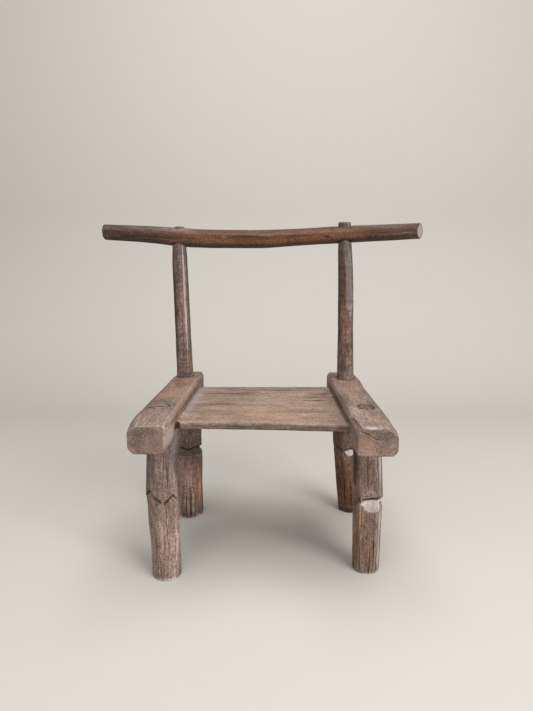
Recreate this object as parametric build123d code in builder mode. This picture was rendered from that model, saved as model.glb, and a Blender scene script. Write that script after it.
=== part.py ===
"""A low hand-hewn birthing chair: two beams, a seat plank, four legs and a crest rail.

Millimetres, +Z up, the front of the chair towards -Y. The origin is on the floor, at
the middle of the chair's outer box. Left is the -X side, as seen from the front.

The two back legs and the two back posts are single sticks: each is thick below its
beam, is cut to a shoulder there, and goes on through the beam to carry the crest rail.
The front legs end in tenons that come through the beams and are spread by a wedge. The
plank is let into a groove in each beam.
"""

import os
from math import cos, radians, sin
from typing import NamedTuple

from build123d import *

os.makedirs("parts", exist_ok=True)


class Round(NamedTuple):
    """One level slice of a stick: its height, its centre, and its size along X and Y."""

    z: float
    x: float
    y: float
    width: float
    depth: float


class BeamSlice(NamedTuple):
    """One upright slice across a beam: its place along Y, its two sides and its top."""

    y: float
    outer_x: float
    inner_x: float
    top: float


class CrestSlice(NamedTuple):
    """One slice across the crest rail: its place along X, its middle height, its size."""

    x: float
    z: float
    height: float


# ---------------------------------------------------------------------------
# Driving dimensions
# ---------------------------------------------------------------------------

# Heights
BEAM_BOTTOM = 234.0
BEAM_TOP = 275.0
SEAT_TOP = 257.5
SEAT_THICKNESS = 10.5
CREST_HALF_LENGTH = 292.5

# Fits: a driven joint is drawn with this much air all round
JOINT_AIR = 0.1

# The arrises that the adze left on the beams
OUTER_TOP_ARRIS = (8.0, 4.5)
OUTER_BOTTOM_ARRIS = (8.5, 9.0)
INNER_TOP_ARRIS = (3.5, 7.0)
INNER_BOTTOM_ARRIS = (3.0, 3.0)

LEFT_BEAM = [
    BeamSlice(-170.5, -179.7, -130.2, BEAM_TOP - 1.5),
    BeamSlice(-156.0, -181.2, -128.7, BEAM_TOP),
    BeamSlice(-60.0, -180.7, -124.7, BEAM_TOP),
    BeamSlice(60.0, -176.2, -120.2, BEAM_TOP + 0.5),
    BeamSlice(172.0, -170.2, -115.7, BEAM_TOP + 0.5),
    BeamSlice(183.5, -168.7, -117.2, BEAM_TOP - 0.5),
]
RIGHT_BEAM = [
    BeamSlice(-183.5, 187.3, 134.3, BEAM_TOP - 1.0),
    BeamSlice(-170.0, 189.3, 132.8, BEAM_TOP + 1.0),
    BeamSlice(-60.0, 189.3, 130.3, BEAM_TOP + 0.5),
    BeamSlice(60.0, 188.8, 129.8, BEAM_TOP + 0.5),
    BeamSlice(168.0, 187.8, 130.3, BEAM_TOP),
    BeamSlice(179.5, 185.3, 132.3, BEAM_TOP - 1.0),
]

# The grooves that hold the plank
GROOVE_DEPTH = 9.0
GROOVE_FRONT = -124.0
GROOVE_BACK = 126.0
GROOVE_HEADROOM = 0.4

# The plank: its ends stop this far short of the bottom of each groove
PLANK_END_GAP = 0.8
PLANK_FRONT_LEFT_Y = -100.5
PLANK_FRONT_MIDDLE_Y = -106.0
PLANK_FRONT_RIGHT_Y = -116.5
PLANK_BACK_Y = 122.5
PLANK_WORN_CORNER = 7.0
PLANK_ARRIS = 1.0

# The carved ring round each leg: a ledge above, a waist under it, then a flare
RING_CUT = 3.6
RING_WAIST = 4.0
RING_FLARE = 13.0

# Every foot is cut off level, with a worn rim
FOOT_RIM = 1.6

FRONT_LEFT_RING = 136.0
FRONT_LEFT_LEG = [
    Round(0.0, -149.7, -88.5, 45.0, 44.0),
    Round(90.0, -151.7, -84.0, 49.0, 47.0),
    Round(FRONT_LEFT_RING, -153.7, -81.5, 50.0, 48.0),
    Round(BEAM_BOTTOM, -153.0, -76.5, 47.5, 46.0),
]
FRONT_LEFT_TENON = Round(BEAM_TOP, -153.7, -74.5, 30.0, 32.0)

FRONT_RIGHT_RING = 127.0
FRONT_RIGHT_LEG = [
    Round(0.0, 172.3, -70.5, 42.5, 42.0),
    Round(85.0, 171.8, -74.0, 47.0, 45.5),
    Round(FRONT_RIGHT_RING, 172.1, -75.5, 46.5, 45.0),
    Round(154.0, 169.8, -77.0, 47.0, 45.5),
    Round(BEAM_BOTTOM, 165.3, -80.5, 44.0, 43.0),
]
FRONT_RIGHT_TENON = Round(BEAM_TOP + 0.5, 162.6, -81.0, 27.0, 33.0)

BACK_LEFT_RING = 139.0
BACK_LEFT_LEG = [
    Round(0.0, -142.2, 119.5, 53.0, 50.0),
    Round(69.0, -142.2, 122.5, 52.0, 49.5),
    Round(BACK_LEFT_RING, -141.2, 126.0, 49.0, 47.5),
    Round(BEAM_BOTTOM, -144.7, 130.5, 46.5, 45.5),
]
BACK_LEFT_POST = [
    Round(BEAM_BOTTOM, -145.4, 130.8, 33.0, 33.0),
    Round(BEAM_TOP + 1.0, -146.3, 132.0, 31.2, 31.5),
    Round(365.0, -148.2, 133.6, 29.0, 29.4),
    Round(460.0, -150.1, 135.3, 26.0, 26.4),
    Round(520.0, -151.2, 136.4, 23.2, 23.6),
]
BACK_LEFT_TENON = [
    Round(520.0, -151.2, 136.4, 20.0, 20.4),
    Round(557.0, -150.4, 137.0, 18.4, 19.0),
]

BACK_RIGHT_RING = 133.0
BACK_RIGHT_LEG = [
    Round(0.0, 177.4, 139.0, 43.0, 43.0),
    Round(65.0, 172.2, 133.0, 44.5, 44.5),
    Round(BACK_RIGHT_RING, 166.0, 126.5, 47.0, 45.5),
    Round(BEAM_BOTTOM, 161.3, 118.0, 45.0, 44.5),
]
BACK_RIGHT_POST = [
    Round(BEAM_BOTTOM, 160.8, 118.0, 34.0, 34.0),
    Round(BEAM_TOP + 0.5, 159.3, 116.0, 32.6, 32.8),
    Round(368.0, 157.2, 114.2, 29.6, 29.8),
    Round(460.0, 154.4, 112.6, 27.3, 27.5),
    Round(525.0, 151.2, 111.5, 22.8, 23.0),
]
BACK_RIGHT_TENON = [
    Round(525.0, 151.2, 111.5, 22.8, 23.0),
    Round(563.5, 150.1, 111.0, 21.6, 22.0),
]
POST_TIP_WEAR = 3.0

# The crest rail is a bent branch, low in the middle; it runs forward to the right.
# Its slices are evenly spaced, from the left tip to the right tip.
CREST_DEPTH = 34.0
CREST_LEFT_SEAT = (-150.8, 136.7)
CREST_RIGHT_SEAT = (150.6, 111.2)
CREST_BOW = 2.0
CREST_STEP = CREST_HALF_LENGTH / 3
CREST = [
    CrestSlice(-3 * CREST_STEP, 547.6, 27.0),
    CrestSlice(-2 * CREST_STEP, 542.0, 30.3),
    CrestSlice(-CREST_STEP, 535.4, 32.1),
    CrestSlice(0.0, 534.1, 31.9),
    CrestSlice(CREST_STEP, 538.8, 29.3),
    CrestSlice(2 * CREST_STEP, 543.0, 27.7),
    CrestSlice(3 * CREST_STEP, 547.5, 26.2),
]
CREST_RIGHT_CUT_ANGLE = 30.0
CREST_END_WEAR = 2.0

# Each front tenon is split across the beam's grain and spread by a wedge
WEDGE_LENGTH = 28.0
WEDGE_HEAD = 3.6
WEDGE_POINT = 0.8


# ---------------------------------------------------------------------------
# Shared shapes
# ---------------------------------------------------------------------------


def blend(low: Round, high: Round, z: float) -> Round:
    """The slice of a straight stick at height z, between two of its slices."""
    share = (z - low.z) / (high.z - low.z)
    return Round(*(a + (b - a) * share for a, b in zip(low, high)))


def narrowed(slice_: Round, z: float, cut: float) -> Round:
    """The same slice at another height, cut back all round."""
    return Round(z, slice_.x, slice_.y, slice_.width - 2 * cut, slice_.depth - 2 * cut)


def rounds(slices: list[Round], air: float = 0.0) -> list[Sketch]:
    """The level outlines of a stick, one for each of its slices."""
    outlines = []
    for slice_ in slices:
        with BuildSketch(Plane.XY.offset(slice_.z)) as outline:
            with Locations((slice_.x, slice_.y)):
                Ellipse(slice_.width / 2 + air, slice_.depth / 2 + air)
        outlines.append(outline.sketch)
    return outlines


def drilled(slices: list[Round]) -> list[Round]:
    """The stick's slices, run on a little past both ends so that a hole cuts clean."""
    overrun = 6.0
    first, second = slices[0], slices[1]
    before_last, last = slices[-2], slices[-1]
    entry = blend(first, second, first.z - overrun)
    leaving = blend(before_last, last, last.z + overrun)
    return [entry, *slices[1:-1], leaving]


def loft_carved_leg(slices: list[Round], ring: float) -> None:
    """A leg from the floor to its shoulder, with the carved ring at its own height."""
    at_ring = next(slice_ for slice_ in slices if slice_.z == ring)
    below = [slice_ for slice_ in slices if slice_.z < ring]
    above = [slice_ for slice_ in slices if slice_.z >= ring]
    flare = blend(below[-1], at_ring, ring - RING_FLARE)
    rim = narrowed(below[0], 0.0, FOOT_RIM / 2)
    above_rim = blend(below[0], below[1], FOOT_RIM)
    waist_foot = narrowed(at_ring, ring - RING_WAIST, RING_CUT)
    waist_head = narrowed(at_ring, ring, RING_CUT)
    loft(rounds([rim, above_rim]))
    loft(rounds([above_rim, *below[1:], flare]))
    loft(rounds([flare, waist_foot]))
    loft(rounds([waist_foot, waist_head]))
    loft(rounds(above))


def tenon_rounds(leg: list[Round], tenon: Round) -> list[Round]:
    """The front tenon, from the leg's shoulder to the top of the beam."""
    shoulder = leg[-1]
    foot = Round(shoulder.z, tenon.x, tenon.y - 1.0, tenon.width, tenon.depth)
    return [foot, tenon]


def beam_outline(slice_: BeamSlice) -> list[tuple[float, float]]:
    """The eight corners of a beam's slice, as (x, z), with its four worn arrises."""
    side = 1.0 if slice_.outer_x > slice_.inner_x else -1.0
    outer, inner = slice_.outer_x, slice_.inner_x
    return [
        (outer - side * OUTER_BOTTOM_ARRIS[0], BEAM_BOTTOM),
        (outer, BEAM_BOTTOM + OUTER_BOTTOM_ARRIS[1]),
        (outer, slice_.top - OUTER_TOP_ARRIS[1]),
        (outer - side * OUTER_TOP_ARRIS[0], slice_.top),
        (inner + side * INNER_TOP_ARRIS[0], slice_.top),
        (inner, slice_.top - INNER_TOP_ARRIS[1]),
        (inner, BEAM_BOTTOM + INNER_BOTTOM_ARRIS[1]),
        (inner + side * INNER_BOTTOM_ARRIS[0], BEAM_BOTTOM),
    ]


def inner_face_at(slices: list[BeamSlice], y: float) -> float:
    """X of a beam's inner face at a place along it."""
    for near, far in zip(slices, slices[1:]):
        if near.y <= y <= far.y:
            share = (y - near.y) / (far.y - near.y)
            return near.inner_x + (far.inner_x - near.inner_x) * share
    raise ValueError(f"the beam does not reach y = {y}")


def crest_y(x: float) -> float:
    """Y of the crest rail's middle line, which passes over both posts in a slight bow."""
    (left_x, left_y), (right_x, right_y) = CREST_LEFT_SEAT, CREST_RIGHT_SEAT
    share = (x - left_x) / (right_x - left_x)
    bow = 4.0 * CREST_BOW * share * (1.0 - share)
    return left_y + (right_y - left_y) * share + bow


# ---------------------------------------------------------------------------
# Side beams
# ---------------------------------------------------------------------------


def build_beam(
    slices: list[BeamSlice],
    front_tenon: list[Round],
    back_post: list[Round],
) -> Part:
    """A hewn beam, bored for its two sticks and grooved for the plank's end."""
    side = 1.0 if slices[0].outer_x > 0 else -1.0
    groove_middle = (SEAT_TOP + GROOVE_HEADROOM + SEAT_TOP - SEAT_THICKNESS) / 2
    with BuildPart() as beam:
        for slice_ in slices:
            with BuildSketch(Plane.XZ.offset(-slice_.y)):
                with BuildLine():
                    Polyline(*beam_outline(slice_), close=True)
                make_face()
        loft(ruled=True)

        loft(rounds(drilled(front_tenon), JOINT_AIR), mode=Mode.SUBTRACT)
        loft(rounds(drilled(back_post), JOINT_AIR), mode=Mode.SUBTRACT)

        # the groove, cut in from the middle of the chair
        front_wall = inner_face_at(slices, GROOVE_FRONT) + side * GROOVE_DEPTH
        back_wall = inner_face_at(slices, GROOVE_BACK) + side * GROOVE_DEPTH
        clear_of_beam = front_wall - side * 4 * GROOVE_DEPTH
        with BuildSketch(Plane.XY.offset(groove_middle)):
            with BuildLine():
                Polyline(
                    (front_wall, GROOVE_FRONT),
                    (back_wall, GROOVE_BACK),
                    (clear_of_beam, GROOVE_BACK),
                    (clear_of_beam, GROOVE_FRONT),
                    close=True,
                )
            make_face()
        extrude(amount=(SEAT_THICKNESS + GROOVE_HEADROOM) / 2, both=True, mode=Mode.SUBTRACT)
    return beam.part


front_left_tenon = tenon_rounds(FRONT_LEFT_LEG, FRONT_LEFT_TENON)
front_right_tenon = tenon_rounds(FRONT_RIGHT_LEG, FRONT_RIGHT_TENON)

left_side_rail = build_beam(LEFT_BEAM, front_left_tenon, BACK_LEFT_POST[:2])
left_side_rail.label = "left_side_rail"
export_step(left_side_rail, "parts/left_side_rail.step")

right_side_rail = build_beam(RIGHT_BEAM, front_right_tenon, BACK_RIGHT_POST[:2])
right_side_rail.label = "right_side_rail"
export_step(right_side_rail, "parts/right_side_rail.step")


# ---------------------------------------------------------------------------
# Seat plank
# ---------------------------------------------------------------------------

end_inset = GROOVE_DEPTH - PLANK_END_GAP
plank_left_front = inner_face_at(LEFT_BEAM, PLANK_FRONT_LEFT_Y) - end_inset
plank_left_back = inner_face_at(LEFT_BEAM, PLANK_BACK_Y) - end_inset
plank_right_front = inner_face_at(RIGHT_BEAM, PLANK_FRONT_RIGHT_Y) + end_inset
plank_right_back = inner_face_at(RIGHT_BEAM, PLANK_BACK_Y) + end_inset

with BuildPart() as seat_board:
    with BuildSketch(Plane.XY.offset(SEAT_TOP - SEAT_THICKNESS)):
        with BuildLine():
            front_edge = ThreePointArc(
                (plank_left_front, PLANK_FRONT_LEFT_Y),
                (0.0, PLANK_FRONT_MIDDLE_Y),
                (plank_right_front, PLANK_FRONT_RIGHT_Y),
            )
            Polyline(
                front_edge @ 1,
                (plank_right_back, PLANK_BACK_Y),
                (plank_left_back, PLANK_BACK_Y),
                front_edge @ 0,
            )
        make_face()
    extrude(amount=SEAT_THICKNESS)
    upright_edges = seat_board.edges().filter_by(Axis.Z)
    fillet(upright_edges.sort_by(Axis.X)[:2].sort_by(Axis.Y)[:1], PLANK_WORN_CORNER)
    bowed_edges = seat_board.edges().filter_by(GeomType.CIRCLE)
    chamfer(bowed_edges.filter_by(lambda edge: edge.length > 100.0), PLANK_ARRIS)

seat_board.part.label = "seat_board"
export_step(seat_board.part, "parts/seat_board.step")


# ---------------------------------------------------------------------------
# Front legs and their wedges
# ---------------------------------------------------------------------------


def wedge_profile(tenon: Round) -> list[tuple[float, float]]:
    """The wedge's side view as (y, z): broad at the top of the tenon, thin below."""
    return [
        (tenon.y - WEDGE_HEAD / 2, tenon.z),
        (tenon.y + WEDGE_HEAD / 2, tenon.z),
        (tenon.y + WEDGE_POINT / 2, tenon.z - WEDGE_LENGTH),
        (tenon.y - WEDGE_POINT / 2, tenon.z - WEDGE_LENGTH),
    ]


def build_front_leg(slices: list[Round], ring: float, tenon: list[Round]) -> Part:
    """A front leg: foot, carved ring, shoulder, and the tenon with its wedge's cut."""
    head = tenon[-1]
    with BuildPart() as leg:
        loft_carved_leg(slices, ring)
        loft(rounds(tenon))
        with BuildSketch(Plane.YZ.offset(head.x)):
            with BuildLine():
                Polyline(*wedge_profile(head), close=True)
            make_face()
        extrude(amount=head.width, both=True, mode=Mode.SUBTRACT)
    return leg.part


def build_wedge(tenon: list[Round]) -> Part:
    """The wedge in a front tenon, trimmed to the tenon's own round."""
    head = tenon[-1]
    with BuildPart() as wedge:
        with BuildSketch(Plane.YZ.offset(head.x)):
            with BuildLine():
                Polyline(*wedge_profile(head), close=True)
            make_face()
        extrude(amount=head.width, both=True)
        loft(rounds(tenon), mode=Mode.INTERSECT)
    return wedge.part


front_left_leg = build_front_leg(FRONT_LEFT_LEG, FRONT_LEFT_RING, front_left_tenon)
front_left_leg.label = "front_left_leg"
export_step(front_left_leg, "parts/front_left_leg.step")

front_right_leg = build_front_leg(FRONT_RIGHT_LEG, FRONT_RIGHT_RING, front_right_tenon)
front_right_leg.label = "front_right_leg"
export_step(front_right_leg, "parts/front_right_leg.step")

front_left_wedge = build_wedge(front_left_tenon)
front_left_wedge.label = "front_left_wedge"
export_step(front_left_wedge, "parts/front_left_wedge.step")

front_right_wedge = build_wedge(front_right_tenon)
front_right_wedge.label = "front_right_wedge"
export_step(front_right_wedge, "parts/front_right_wedge.step")


# ---------------------------------------------------------------------------
# Back posts: leg, shoulder, post and crest tenon in one stick
# ---------------------------------------------------------------------------


def build_back_post(
    leg: list[Round],
    ring: float,
    post: list[Round],
    tenon: list[Round],
) -> Part:
    """A back post from the floor to the tip that stands out above the crest rail."""
    with BuildPart() as stick:
        loft_carved_leg(leg, ring)
        loft(rounds(post[:2]))
        loft(rounds(post[1:]))
        loft(rounds(tenon))
        tip = stick.faces().sort_by(Axis.Z)[-1]
        chamfer(tip.edges(), POST_TIP_WEAR)
    return stick.part


left_back_post = build_back_post(BACK_LEFT_LEG, BACK_LEFT_RING, BACK_LEFT_POST, BACK_LEFT_TENON)
left_back_post.label = "left_back_post"
export_step(left_back_post, "parts/left_back_post.step")

right_back_post = build_back_post(
    BACK_RIGHT_LEG, BACK_RIGHT_RING, BACK_RIGHT_POST, BACK_RIGHT_TENON
)
right_back_post.label = "right_back_post"
export_step(right_back_post, "parts/right_back_post.step")


# ---------------------------------------------------------------------------
# Crest rail
# ---------------------------------------------------------------------------

cut_angle = radians(CREST_RIGHT_CUT_ANGLE)
right_end = (CREST_HALF_LENGTH, crest_y(CREST_HALF_LENGTH) + CREST_DEPTH / 2, CREST[-1].z)

with BuildPart() as crest_rail:
    for slice_ in CREST:
        with BuildSketch(Plane.YZ.offset(slice_.x)):
            with Locations((crest_y(slice_.x), slice_.z)):
                Ellipse(CREST_DEPTH / 2, slice_.height / 2)
    loft()
    # the right end is chopped off on a slant that faces forward
    split(
        bisect_by=Plane(origin=right_end, z_dir=(cos(cut_angle), -sin(cut_angle), 0.0)),
        keep=Keep.BOTTOM,
    )
    left_face = crest_rail.faces().sort_by(Axis.X)[0]
    chamfer(left_face.edges(), CREST_END_WEAR)
    loft(rounds(drilled(BACK_LEFT_TENON), JOINT_AIR), mode=Mode.SUBTRACT)
    loft(rounds(drilled(BACK_RIGHT_TENON), JOINT_AIR), mode=Mode.SUBTRACT)

crest_rail.part.label = "crest_rail"
export_step(crest_rail.part, "parts/crest_rail.step")
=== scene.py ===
"""A low hand-hewn birthing chair: its carved surfaces, its weathered wood and its studio.

Every piece is one closed skin of wood. A skin is drawn in two directions, across the
grain and along it, so that drying checks, fibres and tool marks all follow the grain.
Sizes are millimetres until a mesh is made, which is in metres.
"""

import logging
import math
from dataclasses import dataclass
from enum import Enum
from typing import Callable, Sequence

import bmesh
import bpy
import numpy as np
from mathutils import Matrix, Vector


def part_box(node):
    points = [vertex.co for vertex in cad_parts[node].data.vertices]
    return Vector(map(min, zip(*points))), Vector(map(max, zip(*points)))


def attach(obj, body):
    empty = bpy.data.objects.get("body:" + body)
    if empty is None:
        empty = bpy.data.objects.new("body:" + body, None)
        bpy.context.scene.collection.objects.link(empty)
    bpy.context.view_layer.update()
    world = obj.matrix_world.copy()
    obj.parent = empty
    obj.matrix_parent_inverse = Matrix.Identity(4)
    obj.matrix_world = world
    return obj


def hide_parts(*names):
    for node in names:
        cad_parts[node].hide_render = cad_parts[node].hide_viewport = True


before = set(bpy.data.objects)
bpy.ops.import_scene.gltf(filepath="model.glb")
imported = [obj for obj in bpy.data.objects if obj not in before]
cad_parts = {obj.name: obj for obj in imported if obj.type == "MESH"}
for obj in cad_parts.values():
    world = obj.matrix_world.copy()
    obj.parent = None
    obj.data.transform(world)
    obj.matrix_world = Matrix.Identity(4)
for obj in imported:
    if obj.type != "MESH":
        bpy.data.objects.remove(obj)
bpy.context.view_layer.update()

log = logging.getLogger("birthing_chair")

Array = np.ndarray
Rows = Sequence[Sequence[float]]
Triple = tuple[float, float, float]
Colour = tuple[float, float, float, float]
Wire = bpy.types.NodeSocket
MM = 0.001
BODY = "root"
BAKE_MAP = "OFBake"
GRAIN_GAP = 500.0  # sets the grain of each piece apart from the others'

# ------------------------------------------------------------------ curves and noise


def ramp(value: Array, low: float, high: float) -> Array:
    """A smooth step, from 0 at low to 1 at high."""
    share = np.clip((value - low) / (high - low), 0.0, 1.0)
    return share * share * (3.0 - 2.0 * share)


def follow(keys: Array, at: Array) -> Array:
    """A smooth curve through given keys.

    Args:
        keys: One row for each key: its place along the curve, then its values.
        at: Places along the curve.

    Returns:
        The values there, one row for each place.
    """
    spots, values = keys[:, 0], keys[:, 1:]
    slopes = np.gradient(values, spots, axis=0)
    first = np.clip(np.searchsorted(spots, at) - 1, 0, len(spots) - 2)
    span = spots[first + 1] - spots[first]
    s = np.clip((at - spots[first]) / span, 0.0, 1.0)[:, None]
    span = span[:, None]
    return (
        values[first] * (1 + 2 * s) * (1 - s) ** 2
        + slopes[first] * span * s * (1 - s) ** 2
        + values[first + 1] * s * s * (3 - 2 * s)
        + slopes[first + 1] * span * s * s * (s - 1)
    )


def hashed(cells: Array, seed: int) -> Array:
    """A fixed random number from 0 to 1 for each row of three whole numbers.

    Args:
        cells: The whole numbers.
        seed: Which set of random numbers.

    Returns:
        One number for each row.
    """
    mixed = cells[..., 0] * 374761393 + cells[..., 1] * 668265263
    mixed = mixed + cells[..., 2] * 1440662683 + seed * 974634777
    mixed = (mixed ^ (mixed >> 13)) & 0xFFFFFFFF
    mixed = (mixed * 1274126177) & 0xFFFFFFFF
    mixed = mixed ^ (mixed >> 16)
    return (mixed & 0xFFFFFF) / float(0xFFFFFF)


def noise(points: Array, size: Triple, seed: int, octaves: int = 1) -> Array:
    """Smooth noise through space.

    Args:
        points: Places, three numbers to a row.
        size: How far apart its bumps are along each axis.
        seed: Which noise.
        octaves: How many layers there are, each finer and half as strong.

    Returns:
        Numbers from -1 to 1, one for each row.
    """
    total = np.zeros(points.shape[:-1])
    strength, reach = 1.0, 0.0
    scaled = points / np.array(size)
    for octave in range(octaves):
        cell = np.floor(scaled).astype(np.int64)
        part = scaled - cell
        part = part**3 * (part * (part * 6 - 15) + 10)
        value = np.zeros(total.shape)
        for corner in range(8):
            step = np.array([corner & 1, corner >> 1 & 1, corner >> 2 & 1])
            x, y, z = np.moveaxis(np.where(step == 1, part, 1 - part), -1, 0)
            value += x * y * z * hashed(cell + step, seed + 31 * octave)
        total += strength * (2 * value - 1)
        reach += strength
        strength /= 2
        scaled = scaled * 2.03 + 7.7
    return total / reach


def ripple(along: Array, size: float, seed: int) -> Array:
    """Smooth noise along a line, in two layers.

    Args:
        along: Places along the line.
        size: How far apart its bumps are.
        seed: Which noise.

    Returns:
        Numbers from -1 to 1.
    """
    total = np.zeros_like(along)
    for layer, strength in ((1.0, 0.67), (2.1, 0.33)):
        scaled = along / size * layer + 40.0 * seed
        cell = np.floor(scaled)
        part = scaled - cell
        part = part * part * (3 - 2 * part)
        spots = np.stack([cell, cell + 1], -1).astype(np.int64)
        low, high = hashed(np.stack([spots, spots * 0, spots * 0 + int(layer)], -1), seed).T
        total += strength * (2 * (low + (high - low) * part) - 1)
    return total


def rows_between(
    low: float, high: float, step: float, dense: Rows = (), exact: Sequence[float] = ()
) -> Array:
    """Places for rows of points along a skin.

    Args:
        low: The first place.
        high: The last place.
        step: The usual distance between rows.
        dense: Stretches that need closer rows: low, high and distance.
        exact: Places that need a row of their own.

    Returns:
        The places in order.
    """
    rows = np.linspace(low, high, max(2, int(round((high - low) / step)) + 1))
    for first, last, closer in dense:
        first, last = max(first, low), min(last, high)
        inside = (rows > first - closer / 2) & (rows < last + closer / 2)
        inside[0] = inside[-1] = False
        fill = np.linspace(first, last, max(2, int(round((last - first) / closer)) + 1))
        rows = np.sort(np.concatenate([rows[~inside], fill]))
    for place in exact:
        rows = np.sort(np.append(rows[np.abs(rows - place) > 0.3 * step], place))
    return rows[np.concatenate([[True], np.diff(rows) > 0.01])]


def distance_to_path(spots: Array, path: Rows) -> tuple[Array, Array]:
    """How far places are from a line of straight runs, and how far along it.

    Args:
        spots: Flat places.
        path: The line's corners.

    Returns:
        The distances, and the shares of the line's length, from 0 to 1.
    """
    corners = np.array(path)
    lengths = np.linalg.norm(np.diff(corners, axis=0), axis=1)
    ends = np.concatenate([[0.0], np.cumsum(lengths)]) / lengths.sum()
    best = np.full(spots.shape[:-1], 1e9)
    share = np.zeros(spots.shape[:-1])
    for number in range(len(lengths)):
        start, run = corners[number], corners[number + 1] - corners[number]
        t = np.clip(((spots - start) @ run) / (run @ run), 0, 1)
        gap = np.linalg.norm(spots - start - t[..., None] * run, axis=-1)
        nearer = gap < best
        best = np.where(nearer, gap, best)
        share = np.where(nearer, ends[number] + t * (ends[number + 1] - ends[number]), share)
    return best, share


def corner_rows(along: Array, corners: Sequence[tuple[object, object]]) -> Array:
    """An outline's corners, each given by its two coordinates, as places by corners by 2."""
    flat = [coordinate + 0.0 * along for corner in corners for coordinate in corner]
    return np.stack(flat, -1).reshape(len(along), len(corners), 2)


def rounding(gap: Array, radius: float) -> Array:
    """How far a rounded rim stands back, at distances from its end."""
    short = np.clip(1 - gap / radius, 0, 1)
    return radius * (1 - np.sqrt(1 - short**2 * 0.999))


def turned(angle: Array, facing: float) -> Array:
    """Directions in radians, measured from one that is given in degrees."""
    return np.angle(np.exp(1j * (angle - math.radians(facing))))


# ------------------------------------------------------------------ what marks a surface


# Marks carry the wood's own colour, and in some places painted light and shade.
class Mark(Enum):
    """What a mark does to the wood's colour. The value is its place in a surface's marks."""

    TONE = 0
    TAN = 1
    PALE = 2
    DARK = 3
    POLISH = 4
    MOTTLE = 5


@dataclass(frozen=True)
class Patch:
    """A worn, stained or bleached patch, or a painted highlight or painted shade: what it does, where, how
    big and how strong.
    """

    mark: Mark
    across: float
    along: float
    half_across: float
    half_along: float
    strength: float
    ragged: float = 0.35
    soft: float = 0.75


def patches(**tables: Rows) -> list[Patch]:
    """Patches by the name of their mark, from rows in the order of a Patch's other fields."""
    return [Patch(Mark[mark.upper()], *row) for mark, rows in tables.items() for row in rows]


@dataclass(frozen=True)
class Check:
    """A drying check: a split that runs along the grain and tapers out at its ends.

    Its lip is how far the wood has sunk on its side of higher across.
    """

    across: float
    start: float
    end: float
    width: float
    depth: float
    drift: float = 0.0
    waver: float = 0.8
    open_start: bool = False
    open_end: bool = False
    lip: float = 0.0


@dataclass(frozen=True)
class Facet:
    """A flat left by the knife along a round stick: which way it faces and its bite."""

    facing: float
    bite: float
    low: float = -1e6
    high: float = 1e6
    waver: float = 0.5


@dataclass(frozen=True)
class Scoop:
    """A scoop cut in under a ledge, on one side of a stick.

    The ledge is highest in the scoop's middle and sags to its sides, where the scoop
    runs out. Below the ledge the scoop gets shallower until it meets the stick again.
    Peak and skew shape the ledge. Under it the wood is painted dark as shade: shade_reach sets how far down
    that reaches, shade_lean tips it to one side.
    """

    facing: float
    ledge: float
    depth: float
    run: float
    half_angle: float
    sag: float = 8.0
    tilt: float = 0.0
    fresh: float = 0.0
    shape: float = 0.85
    # Painted shade under the ledge: how far down it reaches, and how it leans to one side.
    shade_reach: float = 3.2
    shade_lean: float = 0.0
    peak: float = 1.7
    skew: float = 0.0


@dataclass(frozen=True)
class EndSplit:
    """A split across a cut end, through these places on it, that opens from its first."""

    path: Rows
    width: float
    depth: float


@dataclass(frozen=True)
class EndPatch:
    """A patch on a cut end: what it does, where, how big and how strong."""

    mark: Mark
    middle: tuple[float, float]
    half_size: tuple[float, float]
    strength: float


def clean(places: Array) -> Array:
    """No marks yet: one row of noughts for each place."""
    return np.zeros(places.shape[:-1] + (len(Mark),))


@dataclass
class Surface:
    """Points of a skin: their places, the grain they lie in, and their marks."""

    place: Array
    grain: Array
    marks: Array

    def shaped(self, shape: tuple[int, ...]) -> "Surface":
        """The same points in rows of another shape."""
        place, grain = self.place.reshape(shape + (3,)), self.grain.reshape(shape + (3,))
        return Surface(place, grain, self.marks.reshape(shape + (len(Mark),)))


Face = Callable[[Array], Surface]

# ------------------------------------------------------------------ closed meshes


@dataclass
class Loop:
    """A closed ring of points in a net."""

    index: Array
    place: Array

    def turns(self) -> Array:
        """The direction of each point from the ring's middle, seen from above."""
        off = self.place - self.place.mean(0)
        return np.arctan2(off[:, 1], off[:, 0])


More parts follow.
